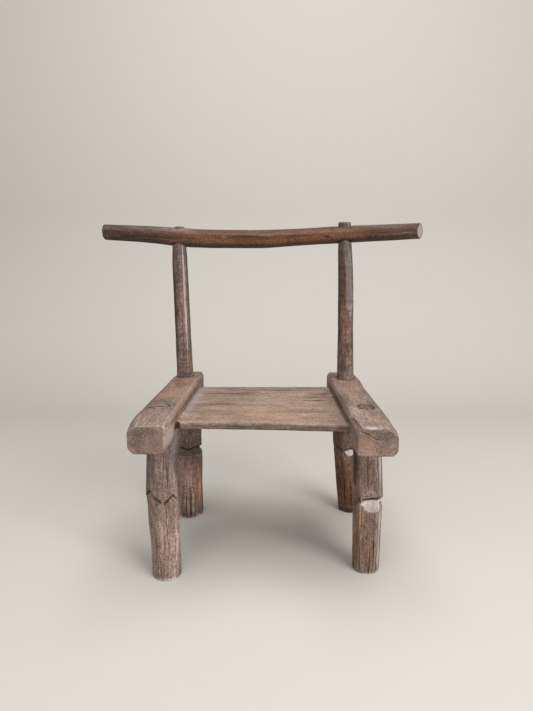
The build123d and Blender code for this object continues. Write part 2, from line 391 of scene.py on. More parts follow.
class Net:
    """A closed mesh that is put together from tubes, rings and caps."""

    SIDE_SHARE = 0.8
    CELL = 0.095
    CELLS_IN_ROW = 10
    SLOT_ENDS = 1.03
    SLOT_SIDES = 6.0
    SLOT_SHADE = 0.9
    SLOT_RINGS = 11
    WALL_RINGS = 8

    def __init__(self) -> None:
        """An empty net."""
        self.surfaces: list[Surface] = []
        self.faces: list[Array] = []
        self.corners: list[Array] = []
        self.count = 0
        self.cells = 0

    def add(self, surface: Surface) -> Array:
        """Adds points.

        Args:
            surface: The points.

        Returns:
            Their numbers, in the shape the points came in.
        """
        shape = surface.place.shape[:-1]
        size = int(np.prod(shape))
        self.surfaces.append(surface.shaped((size,)))
        self.count += size
        return np.arange(self.count - size, self.count).reshape(shape)

    def join(self, index: Array, uv: Array, keep: Array | None = None) -> None:
        """Lays faces over a grid of points.

        Args:
            index: Numbers of the points, rows by columns.
            uv: Their places on the bake map, rows by columns by 2.
            keep: Which faces to lay, rows - 1 by columns - 1; all of them if left out.
        """
        quads = np.stack([index[:-1, :-1], index[:-1, 1:], index[1:, 1:], index[1:, :-1]], -1)
        corners = np.stack([uv[:-1, :-1], uv[:-1, 1:], uv[1:, 1:], uv[1:, :-1]], -2)
        keep = np.ones(quads.shape[:2], bool) if keep is None else keep
        self.faces.append(quads[keep])
        self.corners.append(corners[keep])

    def rings(self, index: Array, uv: Array | None = None) -> None:
        """Lays faces between closed rings of points, one ring to a row.

        Args:
            index: Numbers of the points.
            uv: Their places on the bake map; a free cell of it if left out.
        """
        closed = np.concatenate([index, index[:, :1]], 1)
        uv = self.cell_uv(*closed.shape) if uv is None else np.concatenate([uv, uv[:, :1]], 1)
        self.join(closed, uv)

    def cell_corner(self) -> Array:
        """The lower left corner of the bake map's next free cell."""
        left = (self.cells % self.CELLS_IN_ROW) / self.CELLS_IN_ROW
        bottom = self.SIDE_SHARE + 0.003 + (self.cells // self.CELLS_IN_ROW) * 0.1
        self.cells += 1
        return np.array([left + 0.002, bottom])

    def cell_uv(self, rows: int, columns: int) -> Array:
        """A free cell of the bake map, as a grid of places."""
        across, along = np.meshgrid(np.linspace(0, self.CELL, columns), np.linspace(0, self.CELL, rows))
        return self.cell_corner() + np.stack([across, along], -1)

    def disc_uv(self, spread: Array, centre: Array) -> Array:
        """A free cell of the bake map, filled by the flat places of a shape round its middle."""
        size = np.abs(spread - centre).max() * 2.04
        return self.cell_corner() + self.CELL * ((spread - centre) / size + 0.5)

    def cap(self, loop: Loop, face: Face, step: float, flat: tuple[int, int]) -> None:
        """Closes a loop with rings that shrink to its middle.

        Args:
            loop: The loop to close.
            face: Gives the surface at each place of the flat cap.
            step: How far apart the rings are.
            flat: The two axes that the cap is flattened to for the bake map.
        """
        centre = loop.place.mean(0)
        reach = np.linalg.norm(loop.place - centre, axis=1).mean()
        shares = np.linspace(1.0, 0.0, max(4, int(reach / step)) + 1)[1:-1]
        places = centre + (loop.place - centre)[None] * shares[:, None, None]
        index = np.concatenate([loop.index[None], self.add(face(places))])
        spread = np.concatenate([loop.place[None], places])[..., list(flat)]
        uv = self.disc_uv(spread, centre[list(flat)])
        self.rings(index, uv)
        last, last_uv = index[-1], uv[-1]
        middle = np.full_like(last, self.add(face(centre[None]))[0])
        self.faces.append(np.stack([last, np.roll(last, -1), middle], -1))
        middle_uv = np.broadcast_to(last_uv.mean(0), last_uv.shape)
        self.corners.append(np.stack([last_uv, np.roll(last_uv, -1, 0), middle_uv], -2))

    def slotted_cap(self, loop: Loop, face: Face, slot: Triple, taper: float = 0.35) -> None:
        """Closes a level loop round a slot that goes down into the wood.

        Args:
            loop: The loop to close.
            face: Gives the surface at each place.
            slot: Half the slot's length, half its width, and its depth.
            taper: The slot's width at its bottom, as a share of the width at its mouth.
        """
        centre, turn = loop.place.mean(0), loop.turns()
        half_long, half_wide, deep = slot
        rim_x = centre[0] + half_long * np.clip(self.SLOT_ENDS * np.cos(turn), -1, 1)
        rim_y = centre[1] + half_wide * np.clip(self.SLOT_SIDES * np.sin(turn), -1, 1)
        rim = np.stack([rim_x, rim_y, np.full_like(turn, centre[2])], -1)
        shares = np.linspace(0.0, 1.0, self.SLOT_RINGS + 1)[1:, None, None]
        places = loop.place[None] + (rim - loop.place)[None] * shares
        added = self.add(face(places))
        spread = np.concatenate([loop.place[None], places])[..., :2]
        self.rings(np.concatenate([loop.index[None], added]), self.disc_uv(spread, centre[:2]))
        foot = rim.copy()
        foot[:, 1] = centre[1] + (rim[:, 1] - centre[1]) * taper
        foot[:, 2] -= deep
        shares = np.linspace(0.0, 1.0, self.WALL_RINGS + 1)[1:, None, None]
        walls = rim[None] + (foot - rim)[None] * shares
        wall = face(walls)
        # The slot's walls are painted dark as shade.
        wall.marks[..., Mark.DARK.value] = self.SLOT_SHADE
        wall_index = self.add(wall)
        self.rings(np.concatenate([added[-1][None], wall_index]))
        self.cap(Loop(wall_index[-1], walls[-1]), face, 2.0, (0, 1))

    def sink(self, loop: Loop, into: Array, face: Face, steps: int) -> Loop:
        """Carries a loop straight into the wood, as the wall of a hole.

        Args:
            loop: The loop at the mouth of the hole.
            into: How far and which way the wall goes.
            face: Gives the surface at each place of the wall.
            steps: How many rings the wall has.

        Returns:
            The loop at the bottom of the wall.
        """
        places = loop.place[None] + np.linspace(0.0, 1.0, steps + 1)[1:, None, None] * into
        added = self.add(face(places))
        self.rings(np.concatenate([loop.index[None], added]))
        return Loop(added[-1], places[-1])

    def tunnel(self, upper: Loop, lower: Loop) -> None:
        """Joins two rims, one above the other, as the wall of a hole right through.

        Args:
            upper: The rim above.
            lower: The rim below.
        """
        index, turns = [], []
        for loop in (upper, lower):
            order = np.argsort(loop.turns())
            index.append(np.append(loop.index[order], loop.index[order[0]]))
            turns.append(np.append(loop.turns()[order], loop.turns()[order[0]] + 2 * math.pi))
        corner = self.cell_corner()

        def spot(rim: int, number: int) -> Array:
            """A rim point's place in the bake map's cell."""
            share = (turns[rim][number] + math.pi) / (2 * math.pi + 0.2)
            return corner + self.CELL * np.array([share, 1 - rim])

        at, ends = [0, 0], [len(upper.index), len(lower.index)]
        faces, corners = [], []
        while at != ends:
            rim = 1 if at[0] >= ends[0] else 0
            if at[0] < ends[0] and at[1] < ends[1]:
                rim = 0 if turns[0][at[0] + 1] < turns[1][at[1] + 1] else 1
            faces.append([index[0][at[0]], index[1][at[1]], index[rim][at[rim] + 1]])
            corners.append([spot(0, at[0]), spot(1, at[1]), spot(rim, at[rim] + 1)])
            at[rim] += 1
        self.faces.append(np.array(faces))
        self.corners.append(np.array(corners))

    def mesh(self, name: str, sharp_degrees: float = 46.0) -> bpy.types.Object:
        """Makes the Blender object.

        Args:
            name: The piece's name.
            sharp_degrees: Edges that bend more than this are sharp.

        Returns:
            The new object, linked to the scene.
        """
        place = np.concatenate([s.place for s in self.surfaces]) * MM
        grain = np.concatenate([s.grain for s in self.surfaces]) * MM
        marks = np.concatenate([s.marks for s in self.surfaces])
        faces = [face for block in self.faces for face in block.tolist()]
        data = bpy.data.meshes.new(name)
        data.from_pydata(place.tolist(), [], faces)
        corner_uv = np.concatenate([block.reshape(-1, 2) for block in self.corners])
        data.uv_layers.new(name=BAKE_MAP).data.foreach_set("uv", corner_uv.astype(np.float32).ravel())
        layer = data.attributes.new("grain", "FLOAT_VECTOR", "POINT")
        layer.data.foreach_set("vector", grain.astype(np.float32).ravel())
        for mark in Mark:
            layer = data.attributes.new(mark.name.lower(), "FLOAT", "POINT")
            layer.data.foreach_set("value", marks[:, mark.value].astype(np.float32))
        shell = bmesh.new()
        shell.from_mesh(data)
        bmesh.ops.recalc_face_normals(shell, faces=shell.faces)
        loose = sum(1 for edge in shell.edges if len(edge.link_faces) != 2)
        shell.to_mesh(data)
        shell.free()
        data.shade_smooth()
        data.set_sharp_from_angle(angle=math.radians(sharp_degrees))
        piece = bpy.data.objects.new(name, data)
        bpy.context.scene.collection.objects.link(piece)
        log.info("%s: %d points, %d faces, %d open edges", name, len(place), len(faces), loose)
        return piece


@dataclass
class Tube:
    """A skin's side, laid over a net: its columns, rows and points, and which faces stay."""

    net: Net
    columns: Array
    rows: Array
    surface: Surface
    index: Array
    uv: Array
    keep: Array

    def window(self, r0: int, r1: int, c0: int, c1: int) -> tuple[Array, Array]:
        """Strikes the faces out of a window.

        Args:
            r0: The window's first row.
            r1: Its last row.
            c0: Its first column.
            c1: Its last column.

        Returns:
            The rows and the columns of the points once round its border.
        """
        self.keep[r0:r1, c0:c1] = False
        ring = [(r0, c) for c in range(c0, c1)] + [(r, c1) for r in range(r0, r1)]
        ring += [(r1, c) for c in range(c1, c0, -1)] + [(r, c0) for r in range(r1, r0, -1)]
        rows, columns = np.array(ring).T
        return rows, columns

    def end(self, row: int) -> Loop:
        """The loop at the first row, 0, or at the last, -1."""
        return Loop(self.index[row], self.surface.place[row])


# ------------------------------------------------------------------ skins


@dataclass(frozen=True)
class Mortise:
    """A mouth of a round hole in a skin's side: its middle, radii, place across, and the dirt and painted
    shade at its rim.
    """

    middle: tuple[float, float]
    radii: tuple[float, float]
    across: float
    grime_and_shade: float


@dataclass
class Skin:
    """A closed skin of wood, in across-the-grain and along-the-grain directions.

    across is in units of which unit_mm says the size; it comes round again after girth.
    """

    CHECK_COLUMNS = np.array([-1.5, -1.0, -0.62, -0.3, 0.0, 0.3, 0.62, 1.0, 1.5])
    CHECK_PULL = (1.5, 12.0)
    CHECK_WANDER = 24.0
    CHECK_FADE = 30.0
    LIP_REACH = 7.0
    ROUGH_EDGES = (5.0, 5.0, 12.0)
    SAW_MARKS = (3.2, 3.2, 1.0)
    RIM_MARGIN = 4.0
    RIM_RINGS = 7
    RIM_GRIME_AND_SHADE = (0.7, 1.0)
    RIM_TRIES = 61

    breaks = np.array([])

    seed: int
    checks: Sequence[Check] = ()
    patches: Sequence[Patch] = ()
    end_splits: Sequence[EndSplit] = ()
    end_patches: Sequence[EndPatch] = ()
    far_end: Sequence[EndPatch] = ()
    girth: float = 360.0
    unit_mm: float = 1.0
    seam: float = -180.0
    fibre: float = 0.12
    axis: int = 2
    pith: tuple[float, float] = (2.0, -3.0)
    saw: float = 0.18
    ends: tuple[float, float] = (0.0, 1.0)

    def wrapped(self, distance: Array) -> Array:
        """The shortest signed distance round the skin."""
        return (distance + self.girth / 2) % self.girth - self.girth / 2

    def flat_axes(self) -> tuple[int, int]:
        """The two world axes across the grain."""
        first, second = [axis for axis in range(3) if axis != self.axis]
        return first, second

    def path(self, check: Check, along: Array) -> Array:
        """How far a check has strayed across the grain, at places along it."""
        share = np.clip((along - check.start) / (check.end - check.start), -0.2, 1.2)
        wander = ripple(along, self.CHECK_WANDER, self.seed + int(abs(10 * check.across)))
        return (check.drift * share + check.waver * wander) / self.unit_mm

    def columns(self, step: float, exact: Sequence[float] = ()) -> Array:
        """Places across the skin for its columns of points.

        Args:
            step: The usual distance between columns, in millimetres.
            exact: Places that need a column of their own.

        Returns:
            The places in order, from the seam once round.
        """
        count = int(self.girth * self.unit_mm / step)
        plain = self.seam + np.arange(count) * self.girth / count
        wanted = []
        for check in self.checks:
            half = check.width / 2 / self.unit_mm
            plain = plain[np.abs(self.wrapped(plain - check.across)) > 1.7 * half]
            wanted.append((check.across + self.CHECK_COLUMNS * half - self.seam) % self.girth + self.seam)
        spots = np.sort(np.concatenate([plain, *wanted]))
        for place in exact:
            spots = spots[np.abs(self.wrapped(spots - place)) > 0.4 * step / self.unit_mm]
            spots = np.sort(np.append(spots, place))
        return spots[np.concatenate([[True], np.diff(spots) > 0.1 / self.unit_mm])]

    def strayed(self, across: Array, along: Array) -> Array:
        """Where columns really run, once they have followed the checks beside them.

        Args:
            across: Places across the skin.
            along: Places along it.

        Returns:
            The places across where the wood's surface is taken.
        """
        moved = across.copy()
        for check in self.checks:
            gap = self.wrapped(across - check.across) * self.unit_mm
            moved = moved + self.path(check, along) * (1 - ramp(np.abs(gap), *self.CHECK_PULL))
        return moved

    def splits(self, across: Array, along: Array) -> tuple[Array, Array]:
        """Depth and darkness of the checks.

        Args:
            across: Places across the skin.
            along: Places along it.

        Returns:
            How deep the wood lies there, and how dark it is, from 0 to 1.
        """
        depth, dark = np.zeros_like(across), np.zeros_like(across)
        for check in self.checks:
            away = self.wrapped(across - check.across) * self.unit_mm
            fade = min(self.CHECK_FADE, 0.4 * (check.end - check.start))
            opening = ramp(along, check.start, check.start + fade)
            if check.open_start:
                opening = (along >= check.start - 0.5) * 1.0
            closing = 1 - ramp(along, check.end - fade, check.end)
            if check.open_end:
                closing = (along <= check.end + 0.5) * 1.0
            taper = opening * closing
            shape = np.clip(1 - np.abs(away) / (check.width / 2), 0, 1)
            sunk = check.lip * taper * ramp(away, -0.3, 0.3) * np.exp(-np.abs(away) / self.LIP_REACH)
            depth = np.maximum(np.maximum(depth, check.depth * taper * shape), sunk)
            dark = np.maximum(dark, taper**0.6 * ramp(shape, 0.0, 0.55))
        return depth, dark

    def patched(self, across: Array, along: Array, spots: Array) -> Array:
        """The marks that the patches make.

        Args:
            across: Places across the skin.
            along: Places along the skin.
            spots: The same places in the grain, which roughen the patches' edges.

        Returns:
            One row of marks for each place.
        """
        marks, rough = clean(spots), noise(spots, self.ROUGH_EDGES, self.seed + 90, 3)
        for patch in self.patches:
            gap = self.wrapped(across - patch.across) * self.unit_mm / patch.half_across
            run = (along - patch.along) / patch.half_along
            inside = 1.25 - np.sqrt(gap**2 + run**2) + patch.ragged * rough
            marks[..., patch.mark.value] += patch.strength * ramp(inside, 0.0, patch.soft)
        return marks

    def at(self, across: Array, along: Array) -> Surface:
        """The finished surface at places on the skin."""
        raise NotImplementedError

    def middle_at(self, along: float) -> Array:
        """The middle of the skin's outline, in the two axes across the grain."""
        raise NotImplementedError

    def lay(self, net: Net, columns: Array, rows: Array) -> Tube:
        """Lays the skin's points over a net; its faces wait for what is cut into it.

        Args:
            net: The net to add to.
            columns: Places across the skin.
            rows: Places along the skin.

        Returns:
            The tube of points.
        """
        across, along = np.meshgrid(columns, rows)
        surface = self.at(across.ravel(), along.ravel()).shaped(across.shape)
        steps = np.linalg.norm(np.diff(surface.place, axis=0), axis=2).mean(1)
        climb = np.concatenate([[0.0], np.cumsum(steps)])
        round_it = np.append((columns - self.seam) / self.girth, 1.0)
        uv = np.stack(np.meshgrid(round_it, climb / climb[-1] * net.SIDE_SHARE), -1)
        keep = np.ones((len(rows) - 1, len(columns)), bool)
        return Tube(net, columns, rows, surface, net.add(surface), uv, keep)

    def find_across(self, hole: Mortise, along: Array, target: Array, axis: int) -> Array:
        """Places across the skin, near a hole, whose points lie at a wanted coordinate.

        Args:
            hole: The hole.
            along: Places along the skin.
            target: The wanted coordinate at each of them.
            axis: Which world coordinate is meant.

        Returns:
            A place across the skin for each.
        """
        reach = (max(hole.radii) + 7.0) / self.unit_mm
        tries = np.linspace(hole.across - reach, hole.across + reach, self.RIM_TRIES)
        grid = np.meshgrid(tries, along)
        found = self.at(grid[0].ravel(), grid[1].ravel()).place[:, axis].reshape(grid[0].shape)
        orders = [np.argsort(places) for places in found]
        return np.array([np.interp(t, p[o], tries[o]) for t, p, o in zip(target, found, orders)])

    def cut_mortise(self, tube: Tube, hole: Mortise) -> Loop:
        """Opens a round hole in a tube, ringed by rows of points that hug its rim.

        Args:
            tube: The tube, which loses the faces in the hole's way.
            hole: The hole's mouth.

        Returns:
            The hole's rim.
        """
        columns, rows, (x, y) = tube.columns, tube.rows, hole.middle
        axis = 1 if self.axis == 0 else 0
        half = (hole.radii[axis] + self.RIM_MARGIN) / self.unit_mm
        c0, c1 = np.searchsorted(columns, [hole.across - half, hole.across + half])
        reach = hole.radii[self.axis] + self.RIM_MARGIN
        r0, r1 = np.searchsorted(rows, [hole.middle[self.axis] - reach, hole.middle[self.axis] + reach])
        ring = tube.window(r0, r1, c0, c1)
        start_across, start_along = columns[ring[1]], rows[ring[0]]
        places = self.at(start_across, start_along).place
        turn = np.unwrap(np.arctan2(places[:, 1] - y, places[:, 0] - x))
        way = np.sign(turn[-1] - turn[0])
        turn = way * (np.maximum.accumulate(way * turn) + 2e-4 * np.arange(len(turn)))
        rim = (x + hole.radii[0] * np.cos(turn), y + hole.radii[1] * np.sin(turn))
        rim_across = self.find_across(hole, rim[self.axis], rim[axis], axis)
        shares = np.linspace(0.0, 1.0, self.RIM_RINGS + 1)[:, None]
        across = start_across + (rim_across - start_across) * shares
        along = start_along + (rim[self.axis] - start_along) * shares
        found = self.at(across[1:].ravel(), along[1:].ravel()).shaped(across[1:].shape)
        # Towards the rim the wood darkens, as dirt and painted shade in the joint's gap.
        dark = found.marks[..., Mark.DARK.value]
        found.marks[..., Mark.DARK.value] = np.maximum(dark, hole.grime_and_shade * ramp(shares[1:], *self.RIM_GRIME_AND_SHADE))
        added = tube.net.add(found)
        uv = np.stack([(across - self.seam) / self.girth, np.interp(along, rows, tube.uv[:, 0, 1])], -1)
        tube.net.rings(np.concatenate([tube.index[ring][None], added]), uv)
        return Loop(added[-1], found.place[-1])

    def end_face(self, places: Array) -> Surface:
        """Wood cut across the grain: saw and knife marks, rings and splits.

        Args:
            places: Places on the flat cut.

        Returns:
            The surface there.
        """
        flat, along = places[..., list(self.flat_axes())], places[..., self.axis]
        marks, rough = clean(places), noise(np.insert(flat, 2, 0.0, -1), self.SAW_MARKS, self.seed + 60, 3)
        low = self.saw * (0.5 + 0.5 * rough)
        centre = float(np.mean(along))
        far = centre > sum(self.ends) / 2
        for patch in self.far_end if far else self.end_patches:
            off = (flat - np.array(patch.middle)) / np.array(patch.half_size)
            inside = 1.2 - np.linalg.norm(off, axis=-1) + 0.3 * rough
            marks[..., patch.mark.value] += patch.strength * ramp(inside, 0, 0.8)
        for split in () if far else self.end_splits:
            gap, share = distance_to_path(flat, split.path)
            shape = np.clip(1 - gap / (split.width * (1 - 0.75 * share) / 2), 0, 1)
            low = low + split.depth * (1 - 0.6 * share) * shape
            marks[..., Mark.DARK.value] = np.maximum(marks[..., Mark.DARK.value], ramp(shape, 0, 0.5))
        marks[..., Mark.TONE.value] += -0.08 + 0.2 * rough
        placed = places.copy()
        placed[..., self.axis] = along + (-1.0 if far else 1.0) * low
        grain = np.insert(flat - self.middle_at(centre) - np.array(self.pith), 2, along, -1)
        grain[..., 2] += GRAIN_GAP * self.seed
        return Surface(placed, grain, marks)


@dataclass
class RoundSkin(Skin):
    """A whittled stick. across is degrees round it from the front; along is its length.

    It is given in runs of slices, each run with a shoulder where the one before it ends.
    A slice is its place along, its middle sideways and to the front, its width and its
    depth. A standing stick turns from the front to the right. A lying one turns from the
    front to the top, and its slices' side is their height.
    """

    BULGES = (18.0, 18.0, 46.0)
    FIBRES = (1.7, 1.7, 30.0)
    RIDGES = (3.6, 3.6, 90.0)
    STROKES = 30.0
    LEDGE_SLOPE = 1.6
    SLANT_RUN = 36.0
    FACET_FADE = 8.0

    runs: Sequence[Rows] = ()
    facets: Sequence[Facet] = ()
    scoops: Sequence[Scoop] = ()
    foot_rim: float = 0.0
    head_rim: float = 0.0
    slant: float = 0.0
    flutes: float = 0.0
    flutes_top: float = 60.0
    swell: float = 0.5
    inset: float = 0.1
    roundness: float = 60.0
    foot_round: float = 0.0
    cope: float = 0.0

    def __post_init__(self) -> None:
        """Works out the slices' tables, the ends and the size of a degree."""
        self.keys = [np.array(run) for run in self.runs]
        self.ends = (float(self.keys[0][0, 0]), float(self.keys[-1][-1, 0]))
        self.radius = float(self.keys[0][:, 3:].mean()) / 2
        self.unit_mm = math.pi * self.radius / 180.0

    def sized(self, along: Array) -> Array:
        """The slices' values at places along the stick."""
        values = follow(self.keys[0], along)
        for keys in self.keys[1:]:
            values = np.where((along > keys[0, 0] + 0.001)[:, None], follow(keys, along), values)
        return values

    def middle_at(self, along: float) -> Array:
        """The middle of the stick, in the two axes across the grain."""
        side, front = self.sized(np.array([along]))[0, :2]
        return np.array([front, side]) if self.axis == 0 else np.array([side, front])

    def whittled(self, angle: Array, along: Array, values: Array) -> Array:
        """The stick's radius after the knife has taken its flats.

        Args:
            angle: Directions round the stick, in radians.
            along: Places along it.
            values: The slices' values there.

        Returns:
            The radius at each.
        """
        half_width = values[:, 2] / 2 - self.inset
        half_depth = values[:, 3] / 2 - self.inset

        def oval(turn: Array | float) -> Array:
            """Radius of the plain stick in a direction."""
            return 1 / np.sqrt((np.sin(turn) / half_width) ** 2 + (np.cos(turn) / half_depth) ** 2)

        plain = oval(angle)
        gathered, fade = np.ones_like(plain), self.FACET_FADE
        for number, facet in enumerate(self.facets):
            off = turned(angle, facet.facing)
            stroke = facet.waver * ripple(along, self.STROKES, self.seed + 7 * number)
            here = ramp(along, facet.low - fade, facet.low + fade)
            here = here * (1 - ramp(along, facet.high - fade, facet.high + fade))
            flat = oval(math.radians(facet.facing)) - facet.bite - stroke
            flat = flat + (1 - here) * 6.0 + self.foot_round * (1 - ramp(along, 0, 70)) * facet.bite
            cut = np.where(np.abs(off) < 1.35, flat / np.maximum(np.cos(off), 0.05), 1e3)
            gathered = gathered + (np.minimum(cut / plain, 50.0)) ** -self.roundness
        return plain * gathered ** (-1 / self.roundness)

    def scooped(self, angle: Array, along: Array) -> tuple[Array, Array, Array]:
        """How deep the scoops are cut.

        Args:
            angle: Directions round the stick, in radians.
            along: Places along it.

        Returns:
            The depth, how fresh the cut is, and how much painted shade lies in the corner under the ledge.
        """
        depth, fresh, corner = np.zeros_like(angle), np.zeros_like(angle), np.zeros_like(angle)
        for number, scoop in enumerate(self.scoops):
            off = np.degrees(turned(angle, scoop.facing))
            half_angle = scoop.half_angle * np.where(off < 0, 1 - scoop.skew, 1 + scoop.skew)
            share = np.clip(np.abs(off) / half_angle, 0, 1)
            ragged = 0.8 * ripple(off * 0.4, 5.0, self.seed + 31 + number)
            ledge = scoop.ledge + scoop.tilt * off - scoop.sag * share**scoop.peak + ragged
            foot = scoop.ledge + scoop.tilt * off - scoop.run + (scoop.run - scoop.sag) * share**3
            below = ledge - along
            t = below / np.maximum(ledge - foot, 0.5)
            inside = (t > -0.1) & (t < 1) & (share < 1)
            cut = scoop.depth * (1 - share**2) ** 0.6
            bite = cut * (1 - np.clip(t, 0, 1)) ** scoop.shape
            bite = bite * ramp(below, -0.3, self.LEDGE_SLOPE) * inside
            depth = np.maximum(depth, bite)
            fresh = np.maximum(fresh, scoop.fresh * ramp(bite, 0.15, 0.5) * ramp(below, 3.4, 4.4))
            fall = scoop.sag * scoop.peak * share ** (scoop.peak - 1) * np.sign(off)
            fall = fall / half_angle / self.unit_mm
            # The corner under the ledge is painted dark as shade. It reaches further where the lip hangs out
            # over the wall below it.
            screened = cut * (0.5 * np.cos(angle) - 0.8 * fall * np.tan(np.clip(angle, -1.1, 1.1))).clip(0)
            reach = scoop.shade_reach * (1 + scoop.shade_lean * off / scoop.half_angle) + screened
            under = ramp(cut, 0.3, 1.6) * ramp(below, -1.3, -0.4) * (1 - ramp(below, reach - 1.3, reach))
            corner = np.maximum(corner, under)
        return depth, fresh, corner

    def at(self, across: Array, along: Array) -> Surface:
        """The finished surface at places on the stick.

        Args:
            across: Degrees round the stick from the front.
            along: Places along it.

        Returns:
            The surface there.
        """
        strayed = self.strayed(across, along)
        angle = np.radians(strayed)
        values, (start, end) = self.sized(along), self.ends
        local = np.stack([np.sin(angle) * self.radius, -np.cos(angle) * self.radius, along], -1)
        bulge = noise(local, self.BULGES, self.seed + 1, 2)
        fibres = noise(local, self.FIBRES, self.seed + 2, 3)
        radius = self.whittled(angle, along, values)
        radius = radius - self.swell * (0.5 + 0.5 * bulge) - self.fibre * (0.5 + fibres)
        furrow = np.zeros_like(radius)
        if self.flutes:
            low = 1 - ramp(along - start, 0.25 * self.flutes_top, self.flutes_top)
            furrow = low * ramp(noise(local, self.RIDGES, self.seed + 3, 2), -0.1, 0.5)
        # corner is how much painted shade lies under the scoops' ledges.
        scoop, fresh, corner = self.scooped(angle, along)
        depth, dark = self.splits(across, along)
        radius = radius - self.flutes * furrow - scoop
        radius = radius - np.minimum(depth, 0.6 * radius)
        for rim, gap in ((self.foot_rim, along - start), (self.head_rim, end - along)):
            if rim:
                radius = radius - rounding(gap, rim)
        sideways, forward = radius * np.sin(angle), -radius * np.cos(angle)
        side, front = values[:, 0] + sideways, values[:, 1] + forward
        run = along + self.slant * (front - values[:, 1]) * ramp(along, end - self.SLANT_RUN, end)
        shoulder = self.keys[-1][0, 0]
        near = ramp(along, shoulder - 14, shoulder - 3) * (1 - ramp(along, shoulder + 2, shoulder + 17))
        run = run + self.cope * np.cos(angle) ** 2 * near
        place, first, second = [side, front, run], sideways, forward
        if self.axis == 0:
            place, first, second = [run, front, side], forward, sideways
        grain = [first - self.pith[0], second - self.pith[1], along + GRAIN_GAP * self.seed]
        marks = self.patched(strayed, along, local)
        # Painted shade: darker under the scoops' ledges (corner), in the flutes' grooves (furrow), and where
        # fibres and bulges sink deeper (the tone below).
        marks[..., Mark.DARK.value] += dark + 0.95 * corner + 0.45 * furrow
        marks[..., Mark.PALE.value] += fresh
        marks[..., Mark.TONE.value] -= 0.25 * fibres + 0.1 * (bulge + 0.3)
        return Surface(np.stack(place, -1), np.stack(grain, -1), marks)


@dataclass
class HewnSkin(Skin):
    """A hewn timber. Its outline is a ring of corners, joined by flats and rounded over.

    across is millimetres round the outline; along is the world axis that it runs along.
    """

    HOLLOWS = (16.0, 16.0, 34.0)
    FIBRES = (1.8, 1.8, 30.0)
    ROUNDING_SPOTS = 9
    NORMAL_REACH = 0.6

    arris: float = 3.0
    end_round: float = 4.0
    adze: float = 0.4
    seam: float = 0.0

    def __post_init__(self) -> None:
        """Works out the lengths of the outline's flats, and which way round they go."""
        corners = self.corners(np.array([sum(self.ends) / 2]))[0]
        following = np.roll(corners, -1, 0)
        self.breaks = np.concatenate([[0.0], np.cumsum(np.linalg.norm(following - corners, axis=1))])
        self.girth = float(self.breaks[-1])
        area = (corners[:, 0] * following[:, 1] - following[:, 0] * corners[:, 1]).sum()
        self.outward = 1.0 if area > 0 else -1.0

    def corners(self, along: Array) -> Array:
        """The outline's corners at places along the timber, places by corners by 2."""
        raise NotImplementedError

    def middle_at(self, along: float) -> Array:
        """The middle of the timber's outline."""
        return self.corners(np.array([along]))[0].mean(0)

    def arris_at(self, across: Array) -> Array:
        """How far the rounding reaches at places on the outline."""
        return np.full_like(across, self.arris)

    def outline(self, across: Array, corners: Array) -> Array:
        """The plain outline, with sharp corners.

        Args:
            across: Millimetres round the outline.
            corners: The corners at each place along.

        Returns:
            Flat places, one to a row.
        """
        around = across % self.girth
        edge = np.clip(np.searchsorted(self.breaks, around, side="right") - 1, 0, len(self.breaks) - 2)
        share = (around - self.breaks[edge]) / (self.breaks[edge + 1] - self.breaks[edge])
        rows = np.arange(len(across))
        low, high = corners[rows, edge], corners[rows, (edge + 1) % corners.shape[1]]
        return low + (high - low) * share[:, None]

    def worn(self, across: Array, corners: Array) -> Array:
        """The outline with its corners rounded over, as a mean over each place's surroundings."""
        reach, shares = self.arris_at(across), np.linspace(-1.0, 1.0, self.ROUNDING_SPOTS)
        weights = 1.0 - 0.6 * shares**2
        spots = [w * self.outline(across + s * reach, corners) for s, w in zip(shares, weights)]
        return sum(spots) / weights.sum()

    def at(self, across: Array, along: Array) -> Surface:
        """The finished surface at places on the timber.

        Args:
            across: Millimetres round the outline.
            along: Places along the timber.

        Returns:
            The surface there.
        """
        strayed = self.strayed(across, along)
        corners = self.corners(along)
        spot, middle = self.worn(strayed, corners), corners.mean(1)
        ahead = self.worn(strayed + self.NORMAL_REACH, corners)
        tangent = ahead - self.worn(strayed - self.NORMAL_REACH, corners)
        tangent = tangent / np.maximum(np.linalg.norm(tangent, axis=1), 1e-6)[:, None]
        normal = np.stack([tangent[:, 1], -tangent[:, 0]], -1) * self.outward
        flat = np.concatenate([spot, along[:, None]], 1)
        soft = noise(flat, self.HOLLOWS, self.seed + 1, 2)
        fibres = noise(flat, self.FIBRES, self.seed + 2, 3)
        depth, dark = self.splits(across, along)
        sunk = self.adze * (0.5 + 0.5 * soft) + self.fibre * (0.5 + fibres) + depth
        spot = spot - normal * sunk[:, None]
        rim = np.zeros_like(along)
        for end, inward in zip(self.ends, (1.0, -1.0)):
            gap = (along - end) * inward
            rim = rim + 1 - ramp(gap, 0.4, 1.6)
            away = spot - middle
            length = np.maximum(np.linalg.norm(away, axis=1), 1.0)
            spot = spot - away / length[:, None] * rounding(gap, self.end_round)[:, None]
        deep = spot - middle - np.array(self.pith)
        grain = np.concatenate([deep, along[:, None] + GRAIN_GAP * self.seed], 1)
        marks = self.patched(strayed, along, flat)
        marks[..., Mark.DARK.value] += dark
        # Deeper fibres and adze hollows are painted darker, as shade in the hollows. The wood also darkens
        # close to its cut ends.
        marks[..., Mark.TONE.value] -= 0.2 * fibres + 0.08 * soft + 0.35 * rim * (soft > -0.2)
        return Surface(np.insert(spot, self.axis, along, axis=1), grain, marks)


